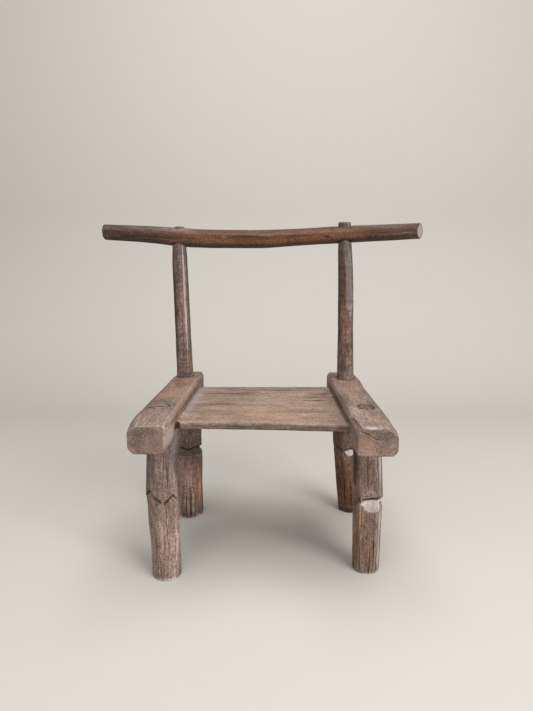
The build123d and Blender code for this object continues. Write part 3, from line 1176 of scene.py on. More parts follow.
@dataclass
class RailSkin(HewnSkin):
    """The skin of a side rail. Its stations are a place along, outer and inner x, and top."""

    stations: Rows = ()
    bottom: float = 234.0
    groove_low: float = 245.8
    groove_high: float = 257.9
    outer_foot: tuple[float, float] = (7.5, 8.0)
    outer_top: tuple[float, float] = (8.5, 7.5)
    outer_round: float = 4.0
    front_wear: float = 0.2
    arris: float = 1.5
    end_round: float = 1.3
    axis: int = 1
    seam: float = 26.0

    def corners(self, along: Array) -> Array:
        """The outline's corners at places along the rail.

        Args:
            along: Places along the rail.

        Returns:
            Places by corners by 2, from the bottom's outer edge up, over and down inside.
        """
        outer, inner, top = follow(np.array(self.stations), along).T
        inward = np.sign(inner - outer)
        wear = 1 + self.front_wear * (1 - ramp(along, self.ends[0] + 5.0, self.ends[0] + 70.0))
        points = (
            (outer + inward * self.outer_foot[0], self.bottom),
            (outer, self.bottom + self.outer_foot[1]),
            (outer, top - self.outer_top[1] * wear),
            (outer + inward * self.outer_top[0] * wear, top),
            (inner - inward * 3.5, top),
            (inner, top - 7.0),
            (inner, self.groove_high),
            (inner, self.groove_low),
            (inner, self.bottom + 3.0),
            (inner - inward * 3.0, self.bottom),
        )
        return corner_rows(along, points)

    def arris_at(self, across: Array) -> Array:
        """The rounding, wide on the outer edges, which leaves the groove's two edges sharp.

        Args:
            across: Places on the outline.

        Returns:
            How far it reaches there.
        """
        low, high = self.breaks[6:8]
        away = np.maximum(np.maximum(low - across, across - high), 0.0)
        around = across % self.girth
        foot = np.maximum(np.maximum(-around, around - self.breaks[1]), 0.0)
        head = np.maximum(np.maximum(self.breaks[2] - around, around - self.breaks[3]), 0.0)
        outside = 1 - ramp(np.minimum(foot, head), 1.0, 6.0)
        reach = self.arris + (self.outer_round - self.arris) * outside
        return 0.15 + (reach - 0.15) * ramp(away, 0.8, 7.0)

    def across_at(self, x: float, y: float, face: int) -> float:
        """The place across the skin of an x and y on the face that starts at a corner."""
        corners = self.corners(np.array([y]))[0]
        start, end = corners[face, 0], corners[(face + 1) % len(corners), 0]
        length = self.breaks[face + 1] - self.breaks[face]
        return float(self.breaks[face] + (x - start) / (end - start) * length)


@dataclass
class BoardSkin(HewnSkin):
    """The skin of the seat board, across the chair. Its front edge and its ends are curves."""

    top: float = 257.5
    thickness: float = 11.6
    back: float = 122.5
    front: Rows = ()
    worn_corner: float = 7.0
    left_end: Rows = ()
    right_end: Rows = ()
    arris: float = 0.7
    end_round: float = 0.8
    adze: float = 0.3
    fibre: float = 0.16
    axis: int = 0

    def corners(self, along: Array) -> Array:
        """The outline's corners at places along the board.

        Args:
            along: Places along the board.

        Returns:
            Places by corners by 2: the top from back to front, then the bottom.
        """
        front = follow(np.array(self.front), along)[:, 0]
        low = self.ends[0] + 8.0
        front = front + self.worn_corner * (1 - ramp(along, low, low + 9.0)) ** 2
        bottom = self.top - self.thickness
        points = (
            (self.back, self.top),
            (front + 1.0, self.top),
            (front, self.top - 1.5),
            (front + 0.4, bottom + 1.2),
            (front + 2.0, bottom),
            (self.back - 0.8, bottom),
            (self.back, bottom + 0.8),
        )
        return corner_rows(along, points)

    def at(self, across: Array, along: Array) -> Surface:
        """The board's surface, its ends cut to follow the rails.

        Args:
            across: Millimetres round the outline.
            along: Places along the board.

        Returns:
            The surface there.
        """
        surface = super().at(across, along)
        for end, keys in zip(self.ends, (self.left_end, self.right_end)):
            near = 1 - ramp(np.abs(along - end), 4.0, 60.0)
            surface.place[:, 0] += near * (np.interp(surface.place[:, 1], *np.array(keys).T) - end)
        return surface


@dataclass
class WedgeSkin(HewnSkin):
    """The skin of a wedge, which is driven down into a tenon's slot."""

    x: float = 0.0
    y: float = 0.0
    half_long: float = 13.0
    head: float = 3.6
    point: float = 0.8
    arris: float = 0.3
    end_round: float = 0.3
    adze: float = 0.08
    fibre: float = 0.08
    saw: float = 0.1

    def corners(self, along: Array) -> Array:
        """The outline's corners at places along the wedge.

        Args:
            along: Places along the wedge.

        Returns:
            Places by corners by 2.
        """
        share = (along - self.ends[0]) / (self.ends[1] - self.ends[0])
        half = (self.point + (self.head - self.point) * share) / 2
        left, right = self.x - self.half_long, self.x + self.half_long
        near, far = self.y - half, self.y + half
        return corner_rows(along, ((left, near), (right, near), (right, far), (left, far)))


# ------------------------------------------------------------------ finishes


def paint(red: float, green: float, blue: float) -> Colour:
    """A colour from its display values, 0 to 255, as the light it reflects."""
    parts = [value / 255 for value in (red, green, blue)]
    light = [p / 12.92 if p <= 0.04045 else ((p + 0.055) / 1.055) ** 2.4 for p in parts]
    return light[0], light[1], light[2], 1.0


class Wiring:
    """Short calls for the nodes of one material."""

    def __init__(self, name: str) -> None:
        """A new material with an empty node tree."""
        self.material = bpy.data.materials.new(name)
        self.material.use_nodes = True
        self.tree = self.material.node_tree
        self.tree.nodes.clear()

    def node(self, kind: str, inputs: dict, **settings: object) -> bpy.types.Node:
        """Adds a node.

        Args:
            kind: The node's type, without the words that all types start with.
            inputs: What its sockets are fed with, by name or number: a wire or a value.
            settings: Its other settings.

        Returns:
            The node.
        """
        node = self.tree.nodes.new("ShaderNode" + kind)
        for name, value in settings.items():
            setattr(node, name, value)
        for key, value in inputs.items():
            if isinstance(value, Wire):
                self.tree.links.new(value, node.inputs[key])
            else:
                node.inputs[key].default_value = value
        return node

    def maths(self, operation: str, *values: object) -> Wire:
        """A Math node's result."""
        return self.node("Math", dict(enumerate(values)), operation=operation).outputs[0]

    def times(self, value: object, factor: object, more: object = 0.0) -> Wire:
        """A value times a factor, and something more."""
        return self.maths("MULTIPLY_ADD", value, factor, more)

    def blend(self, share: object, low: object, high: object) -> Wire:
        """Two colours mixed by a share."""
        inputs = {0: share, 6: low, 7: high}
        return self.node("Mix", inputs, data_type="RGBA", clamp_factor=True).outputs[2]

    def step(self, value: object, low: float, high: float, bottom: float = 0.0, top: float = 1.0) -> Wire:
        """A value mapped from one range to another by a smooth step."""
        inputs = {"Value": value, "From Min": low, "From Max": high, "To Min": bottom, "To Max": top}
        return self.node("MapRange", inputs, interpolation_type="SMOOTHSTEP").outputs[0]

    def stretch(self, vector: object, across: float, along: float) -> Wire:
        """A place in the grain, scaled across it and along it."""
        factors = (across, across, along)
        return self.node("VectorMath", {0: vector, 1: factors}, operation="MULTIPLY").outputs[0]

    def fuzz(self, vector: object, scale: float, detail: float = 3.0, rough: float = 0.6) -> Wire:
        """Soft noise, about a half on average."""
        inputs = {"Vector": vector, "Scale": scale, "Detail": detail, "Roughness": rough}
        return self.node("TexNoise", inputs).outputs[0]

    def mark(self, mark: Mark) -> Wire:
        """How strongly the mesh carries a mark."""
        return self.node("Attribute", {}, attribute_name=mark.name.lower()).outputs["Fac"]

    def finish(self, shader: bpy.types.Node) -> bpy.types.Material:
        """The material, with a shader on its surface."""
        self.node("OutputMaterial", {"Surface": shader.outputs[0]})
        return self.material


@dataclass(frozen=True)
class WoodFinish:
    """Old, hand-worn, unvarnished hardwood."""

    name: str
    body: Colour
    light: Colour
    dark: Colour
    grey: Colour
    warm: Colour
    pale: Colour
    # The colour that DARK marks turn the wood to: dirt and the checks' dark insides, and painted shade.
    grime_and_shade: Colour = paint(44, 31, 25)
    blotches: float = 0.5
    greying: float = 0.5
    flecks: float = 0.5
    rings: float = 0.3
    ring_mm: float = 3.2
    ring_wander_mm: float = 5.0
    contrast: float = 0.3
    roughness: float = 0.68
    gloss: float = 0.35
    grain_depth: float = 0.0007
    streak_size: float = 330.0
    fleck_size: float = 430.0
    fleck_stretch: float = 0.25
    run: float = 0.12
    speckle: float = 0.16
    speckle_size: float = 300.0
    bands: float = 0.0
    swings: float = 0.12

    def material(self) -> bpy.types.Material:
        """Builds the material.

        Returns:
            The material, ready to go on a piece.
        """
        w = Wiring(self.name)
        grain = w.node("Attribute", {}, attribute_name="grain").outputs["Vector"]
        long, mid = w.stretch(grain, 1.0, self.run), w.stretch(grain, 1.0, 0.3)
        blotch = w.fuzz(mid, 30.0, 3.0, 0.55)
        cloud = w.fuzz(mid, 75.0)
        streak = w.fuzz(long, self.streak_size, 4.0, 0.62)
        fibre = w.fuzz(long, 1100.0)
        grit = w.fuzz(w.stretch(grain, 0.9, 1.1), self.speckle_size, 3.0, 0.65)
        band = w.fuzz(w.stretch(grain, 0.16, 1.0), 170.0)
        swing = w.fuzz(w.stretch(grain, 1.0, 0.4), 42.0, 2.0, 0.55)
        fleck = w.fuzz(w.stretch(grain, 1.0, self.fleck_stretch), self.fleck_size, 3.0, 0.62)
        patchy = w.fuzz(w.stretch(grain, 1.0, 0.5), 150.0, 5.0, 0.7)

        dirt = w.times(w.step(fleck, 0.56, 0.7), self.flecks)
        mottle, worn = w.mark(Mark.MOTTLE), w.mark(Mark.POLISH)
        coats = (
            (w.times(w.step(blotch, 0.46, 0.68), self.blotches), self.dark),
            (w.times(w.step(cloud, 0.42, 0.66), self.greying), self.grey),
            (w.times(self.late_wood(w, grain, mid), self.rings), self.dark),
            (dirt, self.grime_and_shade),
            (w.times(w.mark(Mark.TAN), w.step(cloud, 0.3, 0.62, 0.45, 1.15)), self.warm),
            (w.times(mottle, w.step(patchy, 0.5, 0.58)), self.warm),
            (w.times(mottle, w.step(patchy, 0.46, 0.38)), self.grime_and_shade),
            # PALE lays pale wear, bleaching and fresh cuts, and also painted highlights and sheens.
            (w.times(w.mark(Mark.PALE), w.step(streak, 0.25, 0.6, 0.7, 1.0)), self.pale),
            (w.times(worn, 0.45), self.warm),
        )
        colour = w.blend(w.step(streak, 0.36, 0.66), self.body, self.light)
        for share, coat in coats:
            colour = w.blend(share, colour, coat)

        lift = w.step(fibre, 0.3, 0.7, 1.0 - self.contrast, 1.0 + 0.7 * self.contrast)
        spreads = ((grit, 0.3, self.speckle), (band, 0.3, self.bands), (swing, 0.32, self.swings))
        for layer, edge, spread in spreads:
            lift = w.times(lift, w.step(layer, edge, 1.0 - edge, 1.0 - spread, 1.0 + spread))
        steady = w.times(w.maths("MINIMUM", w.mark(Mark.PALE), 1.0), -0.75, 1.0)
        lift = w.times(w.maths("SUBTRACT", lift, 1.0), steady, 1.0)
        # TONE lifts or lowers the wood's own tone, and in places paints light and shade.
        bright = w.times(lift, w.times(w.mark(Mark.TONE), 0.6, 1.0))
        colour = w.node("VectorMath", {0: colour, "Scale": bright}, operation="SCALE").outputs[0]
        # DARK turns the wood to grime_and_shade: real dirt and checks, and painted shade under ledges, in
        # recesses and on shaded flanks.
        colour = w.blend(w.times(w.maths("MINIMUM", w.mark(Mark.DARK), 1.0), 0.9), colour, self.grime_and_shade)

        relief = w.times(dirt, -0.6, w.times(fibre, 0.55, w.times(streak, 0.6)))
        relief = w.times(w.times(grit, 2.0 * self.speckle, relief), w.times(worn, -0.6, 1.0))
        bump = w.node("Bump", {"Strength": 0.85, "Distance": self.grain_depth, "Height": relief})
        rough = w.step(fleck, 0.3, 0.7, self.roughness - 0.1, self.roughness + 0.12)
        inputs = {"Base Color": colour, "Roughness": w.times(worn, -0.24, rough), "Normal": bump.outputs[0]}
        return w.finish(w.node("BsdfPrincipled", {**inputs, "IOR": 1.45, "Specular IOR Level": self.gloss}))

    def late_wood(self, w: Wiring, grain: Wire, mid: Wire) -> Wire:
        """The dark part of each growth ring round the pith.

        Args:
            w: The material's wiring.
            grain: Places in the grain.
            mid: The same places, drawn out along the grain.

        Returns:
            How dark the wood is, from 0 to 1.
        """
        flat = w.stretch(grain, 1.0, 0.0)
        radius = w.node("VectorMath", {0: flat}, operation="LENGTH").outputs["Value"]
        wander = w.times(w.fuzz(mid, 20.0, 2.0, 0.55), self.ring_wander_mm * MM)
        turns = w.times(w.maths("ADD", radius, wander), 2 * math.pi / (self.ring_mm * MM))
        return w.step(w.maths("SINE", turns), 0.0, 0.95)


RAIL_WOOD = WoodFinish(
    "worn_rail_wood", body=paint(126, 105, 96), light=paint(156, 135, 124), dark=paint(94, 72, 60),
    grey=paint(124, 111, 106), warm=paint(156, 122, 100), pale=paint(190, 171, 160), rings=0.12, run=0.22,
    speckle=0.2, speckle_size=340.0, bands=0.08, swings=0.18,
)
SEAT_WOOD = WoodFinish(
    "scrubbed_seat_wood", body=paint(143, 119, 104), light=paint(176, 152, 134), dark=paint(96, 76, 67),
    grey=paint(143, 129, 124), warm=paint(174, 139, 106), pale=paint(162, 149, 149), blotches=0.45,
    greying=0.4, flecks=0.42, fleck_stretch=0.35, run=0.17, speckle=0.24, speckle_size=340.0, swings=0.16,
)
LEG_WOOD = WoodFinish(
    "adzed_leg_wood", body=paint(134, 111, 98), light=paint(170, 150, 139), dark=paint(88, 68, 60),
    grey=paint(124, 109, 104), warm=paint(174, 139, 114), pale=paint(206, 192, 188), blotches=0.35,
    greying=0.55, rings=0.15, fleck_stretch=0.55, run=0.2, speckle=0.42, speckle_size=380.0, swings=0.18,
)
POST_WOOD = WoodFinish(
    "dark_post_wood", body=paint(108, 90, 84), light=paint(138, 119, 111), dark=paint(72, 56, 51),
    grey=paint(107, 94, 92), warm=paint(160, 114, 86), pale=paint(202, 190, 194), blotches=0.6, flecks=0.6,
    rings=0.15, run=0.16, speckle=0.44, speckle_size=360.0, bands=0.2,
)
CREST_WOOD = WoodFinish(
    "handled_crest_wood", body=paint(84, 62, 51), light=paint(114, 88, 73), dark=paint(54, 38, 30),
    grey=paint(92, 80, 76), warm=paint(112, 72, 45), pale=paint(178, 164, 160), greying=0.35, flecks=0.4,
    contrast=0.24, roughness=0.52, gloss=0.26, run=0.18, speckle=0.46, speckle_size=360.0, swings=0.16,
)
WEDGE_WOOD = WoodFinish(
    "wedge_wood", body=paint(110, 88, 76), light=paint(150, 126, 110), dark=paint(78, 58, 48),
    grey=paint(112, 98, 90), warm=paint(150, 110, 84), pale=paint(190, 172, 160),
)

# ------------------------------------------------------------------ pieces


@dataclass(frozen=True)
class Socket:
    """A hole through a timber for a stick. Top and low are x, y, width and depth there."""

    top: tuple[float, float, float, float]
    low: tuple[float, float, float, float]
    air: float = 0.3
    grime_and_shade: float = 0.7

    def mouth(self, size: tuple[float, float, float, float], across: float) -> Mortise:
        """The hole's mouth with one of its two sizes, at a place across the skin."""
        x, y, width, depth = size
        return Mortise((x, y), (width / 2 + self.air, depth / 2 + self.air), across, self.grime_and_shade)


@dataclass
class Piece:
    """A piece of the chair: which part of the frame it stands for, its finish and its skin.

    Its points lie column_step and row_step apart. Near and far rows are stretches with
    closer rows, each as two distances from that end and a step. The outline's corners
    from the first to before the last of corners have a column of their own.
    """

    name: str
    slot: str
    finish: WoodFinish
    skin: Skin
    sockets: Sequence[Socket] = ()
    column_step: float = 1.0
    row_step: float = 1.0
    near_rows: Rows = ()
    far_rows: Rows = ()
    corners: tuple[int, int] = (0, 0)
    cap_steps: tuple[float, float] = (0.8, 0.8)

    def stretches(self) -> list[tuple[float, float, float]]:
        """Where the rows are closer, near the two ends."""
        low, high = self.skin.ends
        near = [(low + start, low + end, step) for start, end, step in self.near_rows]
        return near + [(high - end, high - start, step) for start, end, step in self.far_rows]

    def exact_rows(self) -> Sequence[float]:
        """Places along the skin that need a row of their own."""
        return ()

    def rows(self) -> Array:
        """Places along the skin for its rows of points."""
        return rows_between(*self.skin.ends, self.row_step, self.stretches(), self.exact_rows())

    def faces(self, socket: Socket) -> tuple[float, float]:
        """Where a hole's upper and lower mouths lie across the skin."""
        raise NotImplementedError

    def let_in(self, tube: Tube) -> None:
        """Cuts into the skin what goes no further than into it."""

    def close(self, net: Net, loop: Loop) -> None:
        """Closes the far end."""
        net.cap(loop, self.skin.end_face, self.cap_steps[1], self.skin.flat_axes())

    def mesh(self) -> bpy.types.Object:
        """Makes the piece as one skin, with its holes and its ends.

        Returns:
            The new object.
        """
        net, skin = Net(), self.skin
        columns = skin.columns(self.column_step, skin.breaks[slice(*self.corners)])
        tube = skin.lay(net, columns, self.rows())
        for socket in self.sockets:
            mouths = zip((socket.top, socket.low), self.faces(socket))
            net.tunnel(*[skin.cut_mortise(tube, socket.mouth(*mouth)) for mouth in mouths])
        self.let_in(tube)
        net.join(np.concatenate([tube.index, tube.index[:, :1]], 1), tube.uv, tube.keep)
        net.cap(tube.end(0), skin.end_face, self.cap_steps[0], skin.flat_axes())
        self.close(net, tube.end(-1))
        return net.mesh(self.name)

    def build(self) -> bpy.types.Object:
        """Makes the piece, dresses it and puts it in its place in the frame.

        Returns:
            The finished piece.
        """
        piece = self.mesh()
        piece.data.materials.append(self.finish.material())
        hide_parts(self.name)
        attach(piece, BODY)
        return piece


@dataclass
class Stick(Piece):
    """A standing stick: a leg with its tenon, or a leg and post in one."""

    SHOULDER_STEP = 0.02

    slot_hole: Triple | None = None
    row_step: float = 1.2
    column_step: float = 1.05
    near_rows: Rows = ((0.0, 4.0, 0.5),)
    far_rows: Rows = ((0.0, 4.0, 0.5),)
    cap_steps: tuple[float, float] = (1.2, 0.8)

    def stretches(self) -> list[tuple[float, float, float]]:
        """Where the rows are closer: at the two ends and at the scoops' ledges.

        Returns:
            The stretches' lower and upper ends and their steps.
        """
        ledges = [(scoop.ledge - scoop.sag - 3.0, scoop.ledge + 2.5, 0.5) for scoop in self.skin.scoops]
        dense = sorted(ledges + super().stretches())
        merged = [dense[0]]
        for low, high, step in dense[1:]:
            if low < merged[-1][1] + 2.0:
                merged[-1] = (merged[-1][0], max(high, merged[-1][1]), step)
            else:
                merged.append((low, high, step))
        return merged

    def rows(self) -> Array:
        """Places along the skin for its rows of points, with two at each shoulder.

        Returns:
            The places in order.
        """
        rows = super().rows()
        shoulders = [run[0, 0] + gap for run in self.skin.keys[1:] for gap in (0.0, self.SHOULDER_STEP)]
        for place in shoulders:
            rows = rows[np.abs(rows - place) > 0.3]
        return np.sort(np.concatenate([rows, shoulders]))

    def close(self, net: Net, loop: Loop) -> None:
        """Closes the head, round a slot if there is one."""
        if self.slot_hole:
            net.slotted_cap(loop, self.skin.end_face, self.slot_hole)
        else:
            super().close(net, loop)


@dataclass
class SideRail(Piece):
    """A side rail: two holes right through it, and a blind groove for the seat board."""

    TOP_FACE = 3
    BOTTOM_FACE = 9
    GROOVE_SHADE = 0.85

    groove_ends: tuple[float, float] = (-124.0, 126.0)
    groove_depth: float = 9.0
    column_step: float = 1.25
    row_step: float = 1.5
    near_rows: Rows = ((0.0, 6.0, 0.6),)
    far_rows: Rows = ((0.0, 6.0, 0.6),)
    corners: tuple[int, int] = (6, 8)

    def exact_rows(self) -> Sequence[float]:
        """Places along the skin that need a row of their own: the groove's ends."""
        return self.groove_ends

    def faces(self, socket: Socket) -> tuple[float, float]:
        """Where a hole's upper and lower mouths lie across the skin."""
        upper = self.skin.across_at(*socket.top[:2], self.TOP_FACE)
        return upper, self.skin.across_at(*socket.low[:2], self.BOTTOM_FACE)

    def let_in(self, tube: Tube) -> None:
        """Sinks the seat board's groove into the inner face.

        Args:
            tube: The rail's tube, which loses the faces over the groove.
        """
        net, surface, edges = tube.net, tube.surface, self.skin.breaks[slice(*self.corners)]
        c0, c1 = [int(np.argmin(np.abs(tube.columns - edge))) for edge in edges]
        r0, r1 = [int(np.argmin(np.abs(tube.rows - end))) for end in self.groove_ends]
        inward = -1.0 if surface.place[0, c0, 0] > self.skin.middle_at(tube.rows[0])[0] else 1.0
        into = np.array([inward * self.groove_depth, 0.0, 0.0])
        ring = tube.window(r0, r1, c0, c1)

        def shaded(places: Array) -> Surface:
            """The wood inside the groove, painted dark as shade."""
            marks = clean(places)
            # The groove's walls and floor are painted dark as shade.
            marks[..., Mark.DARK.value] = self.GROOVE_SHADE
            return Surface(places, places[..., [0, 2, 1]] + [0.0, -200.0, 0.0], marks)

        foot = net.sink(Loop(tube.index[ring], surface.place[ring]), into, shaded, 4)
        floor = np.full((r1 - r0 + 1, c1 - c0 + 1), -1)
        floor[ring[0] - r0, ring[1] - c0] = foot.index
        floor[1:-1, 1:-1] = net.add(shaded(surface.place[r0 + 1 : r1, c0 + 1 : c1] + into))
        net.join(floor, net.cell_uv(*floor.shape))


@dataclass
class SeatBoard(Piece):
    """The seat board, whose two ends sit in the rails' grooves."""

    column_step: float = 1.5
    row_step: float = 1.7
    near_rows: Rows = ((6.0, 20.0, 0.8),)
    far_rows: Rows = ((0.0, 12.0, 0.8),)
    corners: tuple[int, int] = (1, 4)
    cap_steps: tuple[float, float] = (4.0, 4.0)


@dataclass
class CrestRail(Piece):
    """The crest rail: a lying branch with a hole through it for each post."""

    column_step: float = 0.95
    row_step: float = 1.3
    near_rows: Rows = ((0.0, 5.0, 0.5),)
    far_rows: Rows = ((0.0, 5.0, 0.5),)

    def faces(self, socket: Socket) -> tuple[float, float]:
        """Where a hole's upper and lower mouths lie across the skin: its top and its bottom."""
        return 90.0, -90.0


@dataclass
class TenonWedge(Piece):
    """A wedge that tightens a front leg's tenon."""

    column_step: float = 0.6
    corners: tuple[int, int] = (0, -1)
    cap_steps: tuple[float, float] = (1.0, 0.5)


# ------------------------------------------------------------------ the chair


def fine_checks(
    seed: int, count: int, low: float, high: float, girth: float = 360.0, start: float = -180.0,
    length: tuple[float, float] = (25.0, 90.0),
) -> list[Check]:
    """Fine drying checks, spread evenly round a skin with a little disorder.

    Args:
        seed: Which spread.
        count: How many.
        low: Where along the grain they may start.
        high: Where they must have ended.
        girth: The distance round the skin, in its own units.
        start: Where the first one lies.
        length: The least and greatest length.

    Returns:
        The checks.
    """
    draw = np.random.default_rng(seed)
    checks = []
    for number in range(count):
        across = start + (number + draw.uniform(0.2, 0.8)) * girth / count
        long = min(draw.uniform(*length), high - low)
        begin = draw.uniform(low, high - long)
        spans = ((0.5, 1.1), (0.6, 1.8), (-2.0, 2.0), (0.4, 1.2))
        width, depth, drift, waver = [float(draw.uniform(*span)) for span in spans]
        checks.append(Check(float(across), float(begin), float(begin + long), width, depth, drift, waver))
    return checks


def front_left_leg() -> Stick:
    """The front left leg: an arris faces the front, with a scoop on each side of it.

    Returns:
        The leg.
    """
    skin = RoundSkin(
        seed=11, foot_rim=1.8, flutes=0.5, flutes_top=120.0, foot_round=0.9, fibre=0.42,
        runs=(
            (
                (0, -149.7, -88.5, 46.8, 44.8), (40, -150.3, -86.5, 47.2, 46.1),
                (90, -152, -84, 50.5, 47.8), (123, -152.8, -82.3, 51.3, 48.6),
                (135, -154.3, -81.6, 51.4, 48.8), (156, -154.1, -80.4, 50.6, 48.4),
                (195, -153.2, -78.3, 49, 47.6), (216, -151.7, -77.4, 51.4, 47.2),
                (232.4, -151.3, -76.5, 51.4, 46.8),
            ),
            ((232.4, -153.0, -76.5, 29.8, 31.8), (274.75, -153.7, -74.5, 29.8, 31.8)),
        ),
        facets=(
            Facet(-47, 2.6, waver=0.8), Facet(44, 2.8, waver=0.8), Facet(133, 2.4), Facet(-138, 2.2),
            Facet(2, 0.6, 150, 234), Facet(88, 0.5),
        ),
        scoops=(
            Scoop(-51, 146.0, 3.4, 25, 48, sag=15.5, shade_reach=3.2, peak=1.3, skew=0.27, shade_lean=0.45),
            Scoop(60, 137.6, 3.8, 22, 29, sag=8.2, shade_reach=3.0, peak=1.15, skew=-0.62, shade_lean=-0.3),
            Scoop(128, 139, 3.4, 19, 43, sag=9), Scoop(-140, 138, 3.2, 19, 41, sag=9),
        ),
        checks=(
            Check(0.5, 4, 62, 1.2, 2.2, 1.0), Check(-26, 0, 88, 1.2, 1.8, -1.5, open_start=True),
            Check(52, 0, 104, 1.1, 1.8, 1.5, open_start=True), Check(20, 60, 128, 1.0, 1.4, -1.0),
            Check(14, 150, 228, 1.5, 2.0, 2.0), Check(34, 146, 196, 1.2, 1.6, -1.5),
            Check(-62, 60, 120, 1.0, 1.2, 1.5), *fine_checks(111, 8, 2, 230, 250, 75),
        ),
        patches=patches(
            tan=((-2, 46, 4.5, 50, 0.3), (6, 122, 5, 12, 0.35), (-30, 212, 8, 26, 0.35)),
            # The pale patch at 60 degrees high up is a painted sheen on the right facet.
            pale=((10, 1.5, 30, 3, 0.6), (60, 200, 9, 60, 0.4)),
            tone=((0, 60, 60, 62, 0.8, 0.2), (0, 196, 60, 60, -0.4, 0.2), (52, 196, 14, 50, -0.3, 0.3)),
            # The two small dark patches at 141.4 and 132 are painted shade under the scoops' ledges.
            dark=(
                (80, 190, 7, 50, 0.4), (-75, 160, 9, 60, 0.35), (-34, 141.4, 3.4, 1.5, 1.0, 0.1, 0.3),
                (73, 132.0, 1.6, 1.3, 0.8, 0.2),
            ),
        ),
        far_end=(EndPatch(Mark.TONE, (-153.7, -74.5), (24, 24), -0.25),),
    )
    return Stick("front_left_leg", "leg_wood", LEG_WOOD, skin, slot_hole=(13.2, 1.95, 28.6))


def front_right_leg() -> Stick:
    """The front right leg: a broad flat faces the front, with a fresh chip in its notch.

    Returns:
        The leg.
    """
    skin = RoundSkin(
        seed=12, foot_rim=1.8, flutes=0.4, flutes_top=90.0, foot_round=0.85, fibre=0.42,
        runs=(
            (
                (0, 172.4, -70.5, 43.9, 42.8), (31, 172.3, -71.8, 45.9, 44.1), (85, 171.9, -74, 48, 46.3),
                (120, 172.2, -75.2, 47.9, 45.9), (132, 172.7, -75.8, 46.8, 45.8),
                (154, 169.9, -77, 48.6, 46.3), (195, 168, -78.8, 46, 45), (233.9, 165.5, -80.5, 45.2, 43.8),
            ),
            ((233.9, 165.0, -80.6, 26.8, 32.8), (275.8, 162.6, -81, 24.6, 30.4)),
        ),
        facets=(
            Facet(-3, 4.2, waver=0.7), Facet(62, 2.4, waver=0.6), Facet(-66, 1.6, waver=0.6),
            Facet(118, 2.2), Facet(-122, 2.4), Facet(176, 2.0),
        ),
        scoops=(
            Scoop(6, 132, 5.4, 26, 46, sag=1, tilt=0.05, shape=0.7, shade_reach=2.4, shade_lean=0.5),
            Scoop(74, 126, 4.2, 18, 34, sag=3), Scoop(-84, 131, 3.4, 16, 44, sag=5),
            Scoop(135, 131, 3.4, 16, 40, sag=7), Scoop(-150, 131, 3.4, 17, 42, sag=7),
        ),
        checks=(
            Check(39, 0, 112, 1.6, 2.4, 1.0, open_start=True), Check(24, 8, 74, 1.4, 2.0, -2.0),
            Check(5, 0, 52, 1.3, 2.0, 1.0, open_start=True), Check(38, 138, 226, 1.6, 2.2, -0.5),
            Check(-12, 140, 214, 1.3, 1.7, 2.0), Check(-34, 64, 122, 1.2, 1.6, -1.0),
            Check(-58, 6, 90, 1.3, 1.8, 1.5), *fine_checks(112, 8, 2, 226, 250, 75),
        ),
        patches=patches(
            # The pale patches at 50 and 62 degrees high up and at 48 degrees low down are painted light on
            # the right-hand facets.
            pale=(
                (4, 121.2, 16, 5.0, 1.2, 0.1, 0.2), (46, 125, 10, 5.4, 1.2, 0.1, 0.2),
                (8, 115.5, 11.5, 7.4, 1.2, 0.1, 0.2), (20, 1.5, 25, 3, 0.5),
                (48, 68, 7.5, 48, 0.5, 0.5, 0.4), (50, 186, 9, 44, 0.55, 0.6), (62, 190, 5, 46, 0.4, 0.5),
            ),
            # The dark at 30 and -6 degrees near 130 is painted shade under the chip's ledge; the dark at -71
            # degrees is painted shade on the left flank.
            dark=(
                (30, 130.2, 12, 3.4, 1.0, 0.1), (-6, 127.4, 9, 1.5, 0.8, 0.1), (-71, 190, 5.5, 46, 0.45),
                (-78, 118, 7, 30, 0.4),
            ),
            # Tone at -72 and -60 degrees is painted shade on the left flank; at 52 and 62 degrees it is
            # painted light on the right facets.
            tone=(
                (-72, 190, 6, 50, -0.4, 0.2), (-60, 60, 9, 60, -0.4, 0.2), (52, 64, 9, 56, 0.4, 0.3),
                (62, 190, 7, 46, 0.5, 0.3), (4, 60, 26, 60, -0.75, 0.2), (-56, 60, 12, 60, 0.25, 0.3),
                (0, 190, 60, 50, -0.65, 0.2),
            ),
            tan=(
                (0, 60, 50, 60, 0.4, 0.6), (-52, 60, 16, 60, 0.6, 0.5), (44, 60, 3.5, 48, 0.5),
                (14, 30, 8, 34, 0.35), (-20, 190, 60, 50, 0.3, 0.6),
            ),
            mottle=((4, 66, 18, 50, 0.4),),
        ),
        far_end=(
            EndPatch(Mark.TONE, (162.6, -81.0), (24, 24), -0.55),
            EndPatch(Mark.DARK, (162.6, -81.0), (24, 24), 0.35),
        ),
    )
    return Stick("front_right_leg", "leg_wood", LEG_WOOD, skin, slot_hole=(11.7, 1.95, 28.6))


